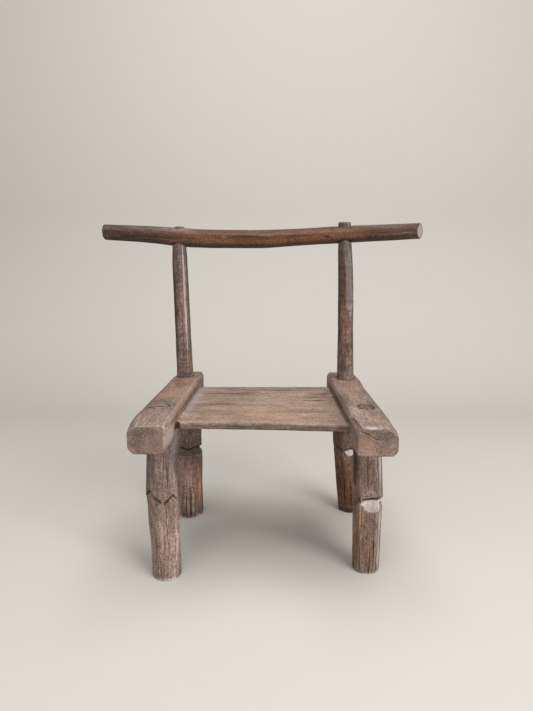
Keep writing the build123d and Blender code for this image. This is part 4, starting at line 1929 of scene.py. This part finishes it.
def left_back_post() -> Stick:
    """The left rear leg and post, in one stick, with a deep cut ring in the leg.

    Returns:
        The stick.
    """
    skin = RoundSkin(
        seed=13, foot_rim=2.2, head_rim=2.6, flutes=1.3, flutes_top=85.0, fibre=0.4, cope=5.0,
        runs=(
            (
                (0, -142.2, 119.5, 54.8, 51), (69, -142, 122.5, 53.2, 50.3),
                (124, -141.4, 125.3, 52.4, 48.8), (150, -140.5, 126.7, 48.8, 48),
                (166, -140.4, 127.4, 48.2, 47.8), (232.4, -144.6, 130.5, 47.7, 46.3),
            ),
            (
                (232.4, -145.4, 130.8, 32.8, 32.8), (273, -146.1, 132, 32.4, 32.2),
                (308, -146.8, 132.5, 31.8, 31.6), (365, -148, 133.6, 30.6, 30.4),
                (422, -149.4, 134.8, 30.2, 29.4), (480, -150.5, 135.7, 29.8, 28.4),
                (496, -150.8, 136, 29.4, 27.6), (521.5, -151.2, 136.4, 26.4, 25.8),
            ),
            ((521.5, -151.2, 138, 21.0, 15.8), (557, -150.4, 138.3, 20.4, 15.2)),
        ),
        facets=(
            Facet(-34, 2.2, -100, 300, 0.6), Facet(38, 2.2, -100, 300, 0.6), Facet(92, 0.6, -100, 500, 0.4),
            Facet(140, 2.0, -100, 500), Facet(-130, 2.0, -100, 500), Facet(36, 1.1, 280, 600, 0.3),
            Facet(-20, 0.7, 280, 600, 0.4), Facet(-78, 0.3, 280, 600, 0.3),
        ),
        scoops=(
            Scoop(-34, 141, 5.6, 14, 46, sag=2.5, shape=0.25, shade_reach=3.2),
            Scoop(42, 143, 6.2, 15, 42, sag=2.0, shape=0.25, shade_reach=3.2),
            Scoop(96, 141.5, 6.2, 14, 42, sag=2.5, shape=0.25, shade_reach=3.2),
            Scoop(160, 141, 4.2, 12, 44, sag=3.0, shape=0.45),
            Scoop(-124, 140.5, 3.6, 12, 46, sag=2.5, shape=0.45),
        ),
        checks=(
            Check(-22, 0, 76, 2.0, 3.0, 1.0, open_start=True),
            Check(-6, 0, 62, 1.8, 2.8, -1.0, open_start=True),
            Check(14, 0, 70, 2.0, 3.0, 0.5, open_start=True),
            Check(34, 0, 54, 1.8, 2.6, 1.0, open_start=True), Check(-48, 10, 110, 1.6, 2.0, 1.0),
            Check(6, 290, 420, 1.2, 1.6, 2.0), *fine_checks(113, 7, 2, 520, 240, 70, length=(40.0, 150.0)),
        ),
        patches=patches(
            tan=(
                (58, 48, 4, 22, 0.65), (62, 70, 3, 22, 0.4), (30, 70, 60, 60, 0.2, 0.6),
                (-8, 399, 4.2, 9, 1.3),
            ),
            # The dark at 66 and -58 degrees high on the post is painted shade on its two flanks.
            dark=(
                (-72, 60, 8, 75, 0.5), (-20, 126.5, 30, 1.2, 0.45), (66, 420, 4, 110, 0.45),
                (-58, 415, 12, 120, 0.5),
            ),
            # Painted light lifts the leg at 196 and 66, where the seat shades it; painted shade darkens the
            # cut ring at 135.
            tone=(
                (0, 196, 90, 52, 0.65, 0.2), (0, 66, 90, 58, 0.75, 0.2), (0, 135, 90, 6, -0.3, 0.2),
                (0, 425, 90, 150, -0.33, 0.2), (0, 430, 12, 90, 0.2, 0.3),
            ),
            mottle=((66, 300, 12, 46, 0.7), (0, 300, 40, 44, 0.3), (10, 200, 70, 60, 0.25)),
            # The pale stripe at 36 degrees high on the post is a painted highlight.
            pale=((36, 425, 4.4, 105, 1.0, 0.3), (20, 1.5, 60, 2.5, 0.55, 0.7)),
            polish=((40, 420, 30, 70, 0.5),),
        ),
    )
    return Stick("left_back_post", "post_wood", POST_WOOD, skin, row_step=1.6, column_step=1.3)


def right_back_post() -> Stick:
    """The right rear leg and post, in one stick, whose end stands up through the crest.

    Returns:
        The stick.
    """
    skin = RoundSkin(
        seed=14, foot_rim=2.0, head_rim=3.4, flutes=0.5, flutes_top=70.0, fibre=0.4, cope=5.0,
        runs=(
            (
                (0, 177.4, 139, 43.8, 43.6), (65, 171.9, 133, 46.8, 45.1), (123, 166.7, 127.4, 48, 46.2),
                (150, 164.1, 125, 48.6, 46.2), (167, 163.1, 124, 48.4, 46), (233.9, 160.3, 118, 47.8, 45.3),
            ),
            (
                (233.9, 160.8, 118, 33.8, 33.8), (276, 159.3, 116, 32.6, 32.8),
                (311, 158.4, 115.2, 31.4, 31.6), (368, 157.0, 114.2, 29.4, 29.8),
                (424, 155.9, 113.2, 29, 28.8), (460, 154.7, 112.6, 28.6, 28.2), (496, 153, 112, 27.2, 27),
                (526, 151.4, 111.5, 25, 25.4),
            ),
            ((526, 151, 113, 24.2, 17.4), (563.5, 150.1, 112.6, 24, 17)),
        ),
        facets=(
            Facet(-40, 1.6, -100, 250, 0.6), Facet(30, 1.8, -100, 250, 0.6), Facet(120, 2.0, -100, 500),
            Facet(-128, 2.0, -100, 500), Facet(27, 2.6, 408, 620, 0.25), Facet(-30, 0.7, 280, 620, 0.4),
            Facet(94, 0.3, 300, 620, 0.3),
        ),
        scoops=(
            Scoop(-62, 142, 3.6, 16, 44, sag=4, tilt=-0.05),
            Scoop(15, 140, 4.2, 16, 31, sag=2.5, fresh=1.2, shade_reach=1.8), Scoop(84, 137, 3.4, 16, 42, sag=5),
            Scoop(160, 137, 3.4, 16, 42, sag=5), Scoop(-138, 138, 3.4, 16, 40, sag=5),
        ),
        checks=(
            Check(-26, 4, 96, 1.6, 2.2, 1.0), Check(10, 0, 80, 1.6, 2.2, -1.0, open_start=True),
            Check(-54, 150, 226, 1.4, 1.8, 1.0), Check(-8, 282, 380, 1.4, 2.0, 1.5),
            Check(20, 430, 520, 1.0, 1.4, 0.5), *fine_checks(114, 8, 2, 540, 270, 60, length=(40.0, 150.0)),
        ),
        patches=patches(
            # Painted shade darkens the leg at 190 and 60, which the seat shades, and the post's left flank at
            # -40 degrees; at 29 degrees the tone drops under the painted sheen.
            tone=(
                (-20, 190, 80, 56, -0.5, 0.2), (-20, 60, 80, 60, -0.95, 0.3), (0, 425, 90, 150, -0.36, 0.2),
                (29, 470, 8.6, 56, -0.55, 0.06, 0.22), (-40, 470, 10, 56, -0.35, 0.2),
                (-36, 385, 9, 34, 0.5), (0, 553, 60, 12, -0.7, 0.2),
            ),
            tan=(
                (-20, 190, 80, 56, 0.25, 0.6), (-20, 60, 70, 60, 1.05, 0.3), (-36, 385, 9, 34, 0.6),
                (-12, 350, 8, 22, 0.4),
            ),
            mottle=((0, 330, 60, 62, 0.5), (-10, 90, 70, 80, 0.4), (-34, 460, 10, 60, 0.5)),
            # The dark at -42 degrees high on the post is painted shade on its left flank.
            dark=(
                (0, 4, 80, 7, 0.5), (-14, 462, 4, 70, 0.5, 0.3), (24, 405, 8, 2.6, 0.7),
                (-42, 440, 10, 130, 0.45), (8, 334, 5, 12, 0.5),
            ),
            # The pale facet at 29 degrees high on the post is a painted sheen.
            pale=((29, 462, 8.6, 62, 0.6, 0.06, 0.22), (62, 558, 4, 6, 0.8)),
            polish=((10, 430, 30, 60, 0.4),),
        ),
    )
    return Stick("right_back_post", "post_wood", POST_WOOD, skin, row_step=1.6, column_step=1.3)


def left_side_rail() -> SideRail:
    """The left side rail.

    Returns:
        The rail.
    """
    skin = RailSkin(
        seed=21, ends=(-170.5, 183.5), bottom=232.4, pith=(24.0, -30.0),
        stations=(
            (-170.5, -182.4, -130.2, 273.5), (-156, -184.2, -128.7, 275), (-60, -183.8, -124.7, 275),
            (60, -177.6, -120.2, 275.5), (172, -169.2, -115.7, 275.5), (183.5, -167.4, -117.2, 274.5),
        ),
        checks=(
            Check(58, -171, -136, 0.7, 1.0, 1.5, open_start=True), Check(30, -140, -20, 1.0, 1.6, 2.0),
            Check(24, 40, 150, 1.0, 1.4, -2.0), Check(155, -100, 90, 1.0, 1.4, 2.0),
            Check(74, 150, 184, 1.0, 1.6, 1.0, open_end=True),
        ),
        patches=patches(
            tan=((97, 10, 4.5, 150, 0.9), (74, 60, 24, 90, 0.6, 0.6), (62, -10, 12, 40, 0.35, 0.8)),
            tone=(
                (74, 90, 26, 50, -0.25, 0.6), (72, -40, 30, 60, -0.22, 0.6), (78, -140, 22, 30, 0.15, 0.6),
            ),
            # The pale patch at 119 is painted light on the inner face's front, above the groove.
            pale=(
                (99, -20, 5, 170, 0.15), (119, -150, 15, 36, 0.8, 0.6), (101, -166, 4, 4, 0.6, 0.5),
                (70, -170, 30, 2.5, 0.3, 0.8),
            ),
            dark=((57, -84, 4.5, 2.2, 0.9, 0.4), (109, 10, 1.6, 150, 0.8)),
        ),
        end_splits=(EndSplit(((-150, 276), (-155, 262), (-158, 252)), 0.5, 0.8),),
        end_patches=(
            EndPatch(Mark.TONE, (-160, 266), (26, 9), -0.5),
            EndPatch(Mark.TONE, (-170, 254), (14, 18), -0.3),
            EndPatch(Mark.TAN, (-150, 241), (26, 7), 0.35), EndPatch(Mark.TAN, (-136, 254), (6, 14), 0.3),
        ),
    )
    sockets = (
        Socket((-153.7, -74.5, 29.8, 31.8), (-153.0, -76.5, 29.8, 31.8), 0.05, 0.0),
        Socket((-146.1, 132.0, 32.4, 32.2), (-145.4, 130.8, 32.8, 32.8)),
    )
    return SideRail("left_side_rail", "rail_wood", RAIL_WOOD, skin, sockets, groove_ends=(-111.0, 126.0))


def right_side_rail() -> SideRail:
    """The right side rail, split at its front end.

    Returns:
        The rail.
    """
    skin = RailSkin(
        seed=22, ends=(-183.5, 179.5), outer_foot=(6.0, 6.5), front_wear=0.6, pith=(-20.0, -34.0),
        stations=(
            (-183.5, 189.4, 132.6, 274), (-170, 190.6, 132, 276), (-140, 189.9, 131.6, 275.9),
            (-60, 189.7, 130.3, 275.5), (60, 188.2, 129.8, 275.5), (168, 186.6, 130.3, 275),
            (179.5, 184.4, 132.3, 274),
        ),
        checks=(
            Check(92, -184, -130, 1.9, 3.0, 7.0, 0.4, open_start=True), Check(28, -150, -30, 1.0, 1.6, 2.0),
            Check(22, 30, 150, 1.0, 1.4, -2.0), Check(158, -90, 100, 1.0, 1.4, 2.0),
            Check(68, 146, 180, 1.0, 1.6, 1.0, open_end=True),
        ),
        patches=patches(
            pale=((80, -179.5, 14, 4.5, 0.6, 0.6), (72, -181.5, 21, 2.2, 0.4, 0.5), (78, 86, 7, 5, 0.5)),
            # The tan patch at 114 is painted light on the inner face's front.
            tan=(
                (95, -181, 3, 4, 0.8), (74, 60, 24, 90, 0.35, 0.6), (64, -150, 12, 26, 0.35, 0.6),
                (114, -165, 16, 28, 0.4, 0.6),
            ),
            # Tone at 102 is painted shade along the inner face; at 112 it is painted light on the face's
            # front.
            tone=(
                (74, 70, 26, 70, 0.16, 0.4), (70, -110, 26, 80, 0.42, 0.5), (102, 10, 7, 150, -0.2),
                (112, -162, 20, 34, 0.1, 0.3),
            ),
            dark=((107.5, 10, 3.0, 150, 0.9), (50, 40, 4, 120, 0.2)),
        ),
        end_splits=(
            EndSplit(((132.6, 274), (137.5, 270), (150.9, 264), (157.9, 259), (175, 256.8)), 1.6, 2.2),
            EndSplit(((158, 236), (159, 246)), 0.6, 0.8),
        ),
        end_patches=(
            EndPatch(Mark.TONE, (172, 265), (17, 8), -0.4), EndPatch(Mark.TONE, (150, 246), (30, 16), 0.2),
            EndPatch(Mark.TONE, (150, 270), (14, 5), -0.3), EndPatch(Mark.TAN, (145, 250), (12, 14), 0.6),
            EndPatch(Mark.TAN, (165, 240), (22, 6), 0.3),
        ),
    )
    sockets = (
        Socket((162.6, -81.0, 24.6, 30.4), (165.0, -80.6, 26.8, 32.8)),
        Socket((159.3, 116.0, 32.6, 32.8), (160.8, 118.0, 33.8, 33.8)),
    )
    return SideRail("right_side_rail", "rail_wood", RAIL_WOOD, skin, sockets)


def seat_board() -> SeatBoard:
    """The seat board, checked along its grain, with a worn front left corner.

    Returns:
        The board.
    """
    skin = BoardSkin(
        seed=31, ends=(-131.0, 138.6), pith=(-26.0, 58.0),
        front=((-131.0, -100.5), (0.0, -106.0), (138.6, -116.5)),
        left_end=((-110.0, -134.6), (-60.0, -132.6), (60.0, -128.2), (122.0, -125.4)),
        right_end=((-118.0, 139.8), (-60.0, 138.3), (60.0, 137.8), (122.0, 138.0)),
        checks=(
            Check(49, -116, -10, 2.2, 2.2, 1.0, lip=1.3), Check(50, 78, 134, 2.0, 2.0, -1.0, lip=1.2),
            Check(119.5, -118, -20, 2.4, 2.4, 0.5, lip=1.5), Check(94.5, 56, 131, 2.4, 2.2, -1.0, lip=1.4),
            Check(73, 42, 124, 1.6, 1.4, 1.0, lip=0.8), Check(22, -80, 110, 1.6, 1.2, 2.0, lip=0.9),
            Check(84, -110, -10, 1.2, 1.0, -1.0, lip=0.5), Check(234, -60, 10, 0.8, 1.2, 0.4),
            Check(300, -90, 60, 1.2, 1.6, 2.0), Check(380, -20, 110, 1.2, 1.6, -2.0),
        ),
        patches=patches(
            tan=((180, 10, 40, 110, 0.3, 0.6), (229, -119, 5, 7, 0.75)),
            pale=((100, -116, 100, 8, 0.6),),
            tone=((14, 0, 14, 150, -0.3), (40, -60, 6, 60, -0.2), (234, 0, 6.0, 170, -0.85)),
            dark=(
                (100, 130, 130, 2.0, 0.6), (100, -123.5, 130, 1.4, 0.5), (239, 0, 2.6, 160, 0.5),
                (231, -121.5, 1.8, 2.2, 0.9),
            ),
            mottle=((234, 0, 6.0, 170, 0.3),),
        ),
    )
    return SeatBoard("seat_board", "seat_wood", SEAT_WOOD, skin)


LEFT_SEAT = (-150.8, 136.7)
RIGHT_SEAT = (150.6, 111.2)


def crest_front(x: float) -> float:
    """The crest's middle, front to back: on the line of the two posts, a little bowed."""
    share = (x + 292.5) / 585.0
    line = LEFT_SEAT[1] + (x - LEFT_SEAT[0]) * (RIGHT_SEAT[1] - LEFT_SEAT[1]) / (RIGHT_SEAT[0] - LEFT_SEAT[0])
    return line + 4.0 * 2.0 * share * (1.0 - share)


def crest_rail() -> CrestRail:
    """The crest rail, dark and handled, sagging a little in its middle.

    Returns:
        The crest rail.
    """
    outline = (
        (-292.5, 547.6, 27.2), (-187.1, 541.2, 31.2), (-150.0, 537.7, 33.8), (-120.0, 535.7, 32.9),
        (-53.0, 534.0, 32.2), (9.2, 534.2, 32.0), (70.5, 537.2, 29.8), (132.7, 540.7, 29.6),
        (162.6, 542.0, 29.4), (220.0, 544.5, 28.2), (282.7, 547.1, 26.8),
    )
    skin = RoundSkin(
        seed=41, axis=0, foot_rim=3.2, head_rim=0.8, slant=0.577, fibre=0.26, inset=-0.7,
        runs=(tuple((x, height, crest_front(x), tall, 34.0) for x, height, tall in outline),),
        facets=(
            Facet(48, 1.0, waver=0.8), Facet(-10, 1.0, waver=0.8), Facet(-70, 1.2, waver=0.8),
            Facet(-150, 1.4, waver=0.8), Facet(140, 1.2, waver=0.8),
        ),
        checks=(
            Check(-18, -250, -160, 1.0, 1.4, 2.0), Check(18, -120, 10, 0.9, 1.2, -3.0),
            Check(30, 190, 270, 0.6, 0.8, -1.5), Check(12, 110, 124, 1.5, 1.8, -6.0),
            *fine_checks(141, 5, -280, 280, 240, 70, length=(60.0, 160.0)),
        ),
        patches=patches(
            polish=((12, 0, 14, 170, 0.8),),
            tan=(
                (18, 25, 24, 165, 0.8), (30, -186, 6, 7, 1.3), (28, 225, 14, 80, 0.6),
                (34, 20, 12, 180, 0.9),
            ),
            # The thin pale lines at 20 and -8 degrees are painted highlights.
            pale=(
                (12, -67, 3, 5, 0.4), (20, 12, 1.8, 18, 0.4), (-8, 253, 1.4, 34, 0.35),
                (62, -190, 10, 90, 0.22), (62, 230, 10, 60, 0.22),
            ),
            # The dark at -84 degrees along the whole crest is painted shade on its underside.
            dark=((-4, 119, 3.5, 5, 0.8, 0.8), (-84, 0, 6, 320, 0.4, 0.3)),
            # Tone at -66 and -42 degrees is painted shade on the underside.
            tone=(
                (-66, 0, 9, 330, -0.8, 0.3), (0, -236, 40, 80, -0.7, 0.2), (-42, 236, 11, 84, -0.6, 0.15),
                (34, 235, 14, 70, -0.85, 0.2), (34, 20, 12, 180, -0.6, 0.2), (-24, 20, 12, 180, -0.1, 0.2),
            ),
            mottle=((20, -225, 60, 60, 0.1), (20, 235, 60, 60, 0.3)),
        ),
        far_end=(EndPatch(Mark.PALE, (97, 547), (20, 18), 1.1),),
    )
    sockets = (
        Socket((-150.5, 138.2, 20.5, 15.6), (-151.1, 138.0, 20.9, 15.8), 0.25, 0.35),
        Socket((150.4, 112.8, 24.0, 17.2), (150.9, 113.0, 24.2, 17.4), 0.25, 0.35),
    )
    return CrestRail("crest_rail", "crest_wood", CREST_WOOD, skin, sockets)


def tenon_wedge(name: str, seed: int, x: float, y: float, half_long: float, top: float) -> TenonWedge:
    """A front leg's wedge, by name, place, half its length and the height of its head."""
    skin = WedgeSkin(seed=seed, ends=(top - 28.0, top), x=x, y=y, half_long=half_long)
    return TenonWedge(name, "wedge_wood", WEDGE_WOOD, skin)


# ------------------------------------------------------------------ the studio


@dataclass
class Studio:
    """A pale sweep of floor and wall, soft lamps and the camera. Lengths in metres."""

    AIM = Vector((0.0, 0.0, 0.28))

    wall_y: float = 1.5
    sweep_radius: float = 0.7
    sweep_steps: int = 16
    half_width: float = 5.0
    near_y: float = -4.0
    height: float = 4.0
    seen: Colour = paint(202, 200, 193)
    bounced: Colour = paint(150, 136, 126)
    fill: float = 0.3
    camera_place: Triple = (0.0101, -0.872, 0.5)
    camera_down_degrees: float = 10.35
    lens: float = 27.04

    def link(self, name: str, data: bpy.types.ID) -> bpy.types.Object:
        """A new object in the scene, by its name and its data."""
        thing = bpy.data.objects.new(name, data)
        bpy.context.scene.collection.objects.link(thing)
        return thing

    def sweep(self) -> bpy.types.Object:
        """The floor that curves up into the backdrop.

        Returns:
            The sweep.
        """
        profile = [(self.near_y, 0.0)]
        for step in range(self.sweep_steps + 1):
            turn = math.pi / 2 * step / self.sweep_steps
            y = self.wall_y - self.sweep_radius + self.sweep_radius * math.sin(turn)
            profile.append((y, self.sweep_radius * (1 - math.cos(turn))))
        profile.append((self.wall_y, self.height))
        points = [(x, y, z) for y, z in profile for x in (-self.half_width, self.half_width)]
        faces = [(2 * i, 2 * i + 1, 2 * i + 3, 2 * i + 2) for i in range(len(profile) - 1)]
        data = bpy.data.meshes.new("sweep")
        data.from_pydata(points, [], faces)
        data.shade_smooth()
        data.materials.append(self.sweep_paint())
        piece = self.link("sweep", data)
        return piece

    def sweep_paint(self) -> bpy.types.Material:
        """Pale paint, which sends less light back up under the chair than it shows.

        Returns:
            The material.
        """
        w = Wiring("pale_sweep")
        path = w.node("LightPath", {})
        seen = w.maths("MAXIMUM", path.outputs["Is Camera Ray"], path.outputs["Is Glossy Ray"])
        seen = w.maths("MAXIMUM", seen, path.outputs["Is Transmission Ray"])
        return w.finish(w.node("BsdfDiffuse", {"Color": w.blend(seen, self.bounced, self.seen)}))

    def lamp(self, name: str, place: Triple, size: float, power: float, colour: Triple) -> None:
        """Hangs a soft square lamp that faces the chair.

        Args:
            name: The lamp's name.
            place: Where it hangs.
            size: The length of its sides.
            power: Its power in watts.
            colour: Its colour.
        """
        data = bpy.data.lights.new(name, "AREA")
        data.shape, data.size, data.energy, data.color = "SQUARE", size, power, colour
        lamp = self.link(name, data)
        lamp.location = place
        lamp.rotation_euler = (self.AIM - Vector(place)).to_track_quat("-Z", "Y").to_euler()

    def build(self) -> None:
        """Makes the sweep, the lamps, the world's fill light and the camera."""
        self.sweep()
        self.lamp("window", (1.7, -2.0, 1.2), 1.5, 55.0, (1.0, 0.99, 0.97))
        self.lamp("ceiling", (0.1, -0.3, 2.4), 1.8, 44.0, (1.0, 0.99, 0.97))
        self.lamp("doorway", (-0.9, -2.4, 0.7), 1.6, 18.0, (1.0, 0.99, 0.98))
        world = bpy.data.worlds.new("room_light")
        world.use_nodes = True
        sky = world.node_tree.nodes["Background"]
        sky.inputs["Color"].default_value = (0.98, 0.99, 1.0, 1.0)
        sky.inputs["Strength"].default_value = self.fill
        data = bpy.data.cameras.new("camera")
        data.lens = self.lens
        data.sensor_width = 36.0
        camera = self.link("camera", data)
        camera.location = self.camera_place
        camera.rotation_euler = (math.radians(90 - self.camera_down_degrees), 0.0, 0.0)
        scene = bpy.context.scene
        scene.world = world
        scene.camera = camera
        scene.view_settings.view_transform = "Standard"


def main() -> None:
    """Builds the chair piece by piece, then the studio round it."""
    logging.basicConfig(level=logging.INFO, format="%(name)s: %(message)s")
    pieces: list[Piece] = [
        left_side_rail(),
        right_side_rail(),
        seat_board(),
        front_left_leg(),
        front_right_leg(),
        left_back_post(),
        right_back_post(),
        crest_rail(),
        tenon_wedge("front_left_wedge", 51, -153.7, -74.5, 13.0, 272.6),
        tenon_wedge("front_right_wedge", 52, 162.6, -81.0, 11.5, 275.7),
    ]
    for piece in pieces:
        low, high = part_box(piece.name)
        piece.build()
        log.info("%s built, frame box %s to %s", piece.name, *np.round((low, high), 4).tolist())
    Studio().build()


if __name__ == "__main__":
    main()
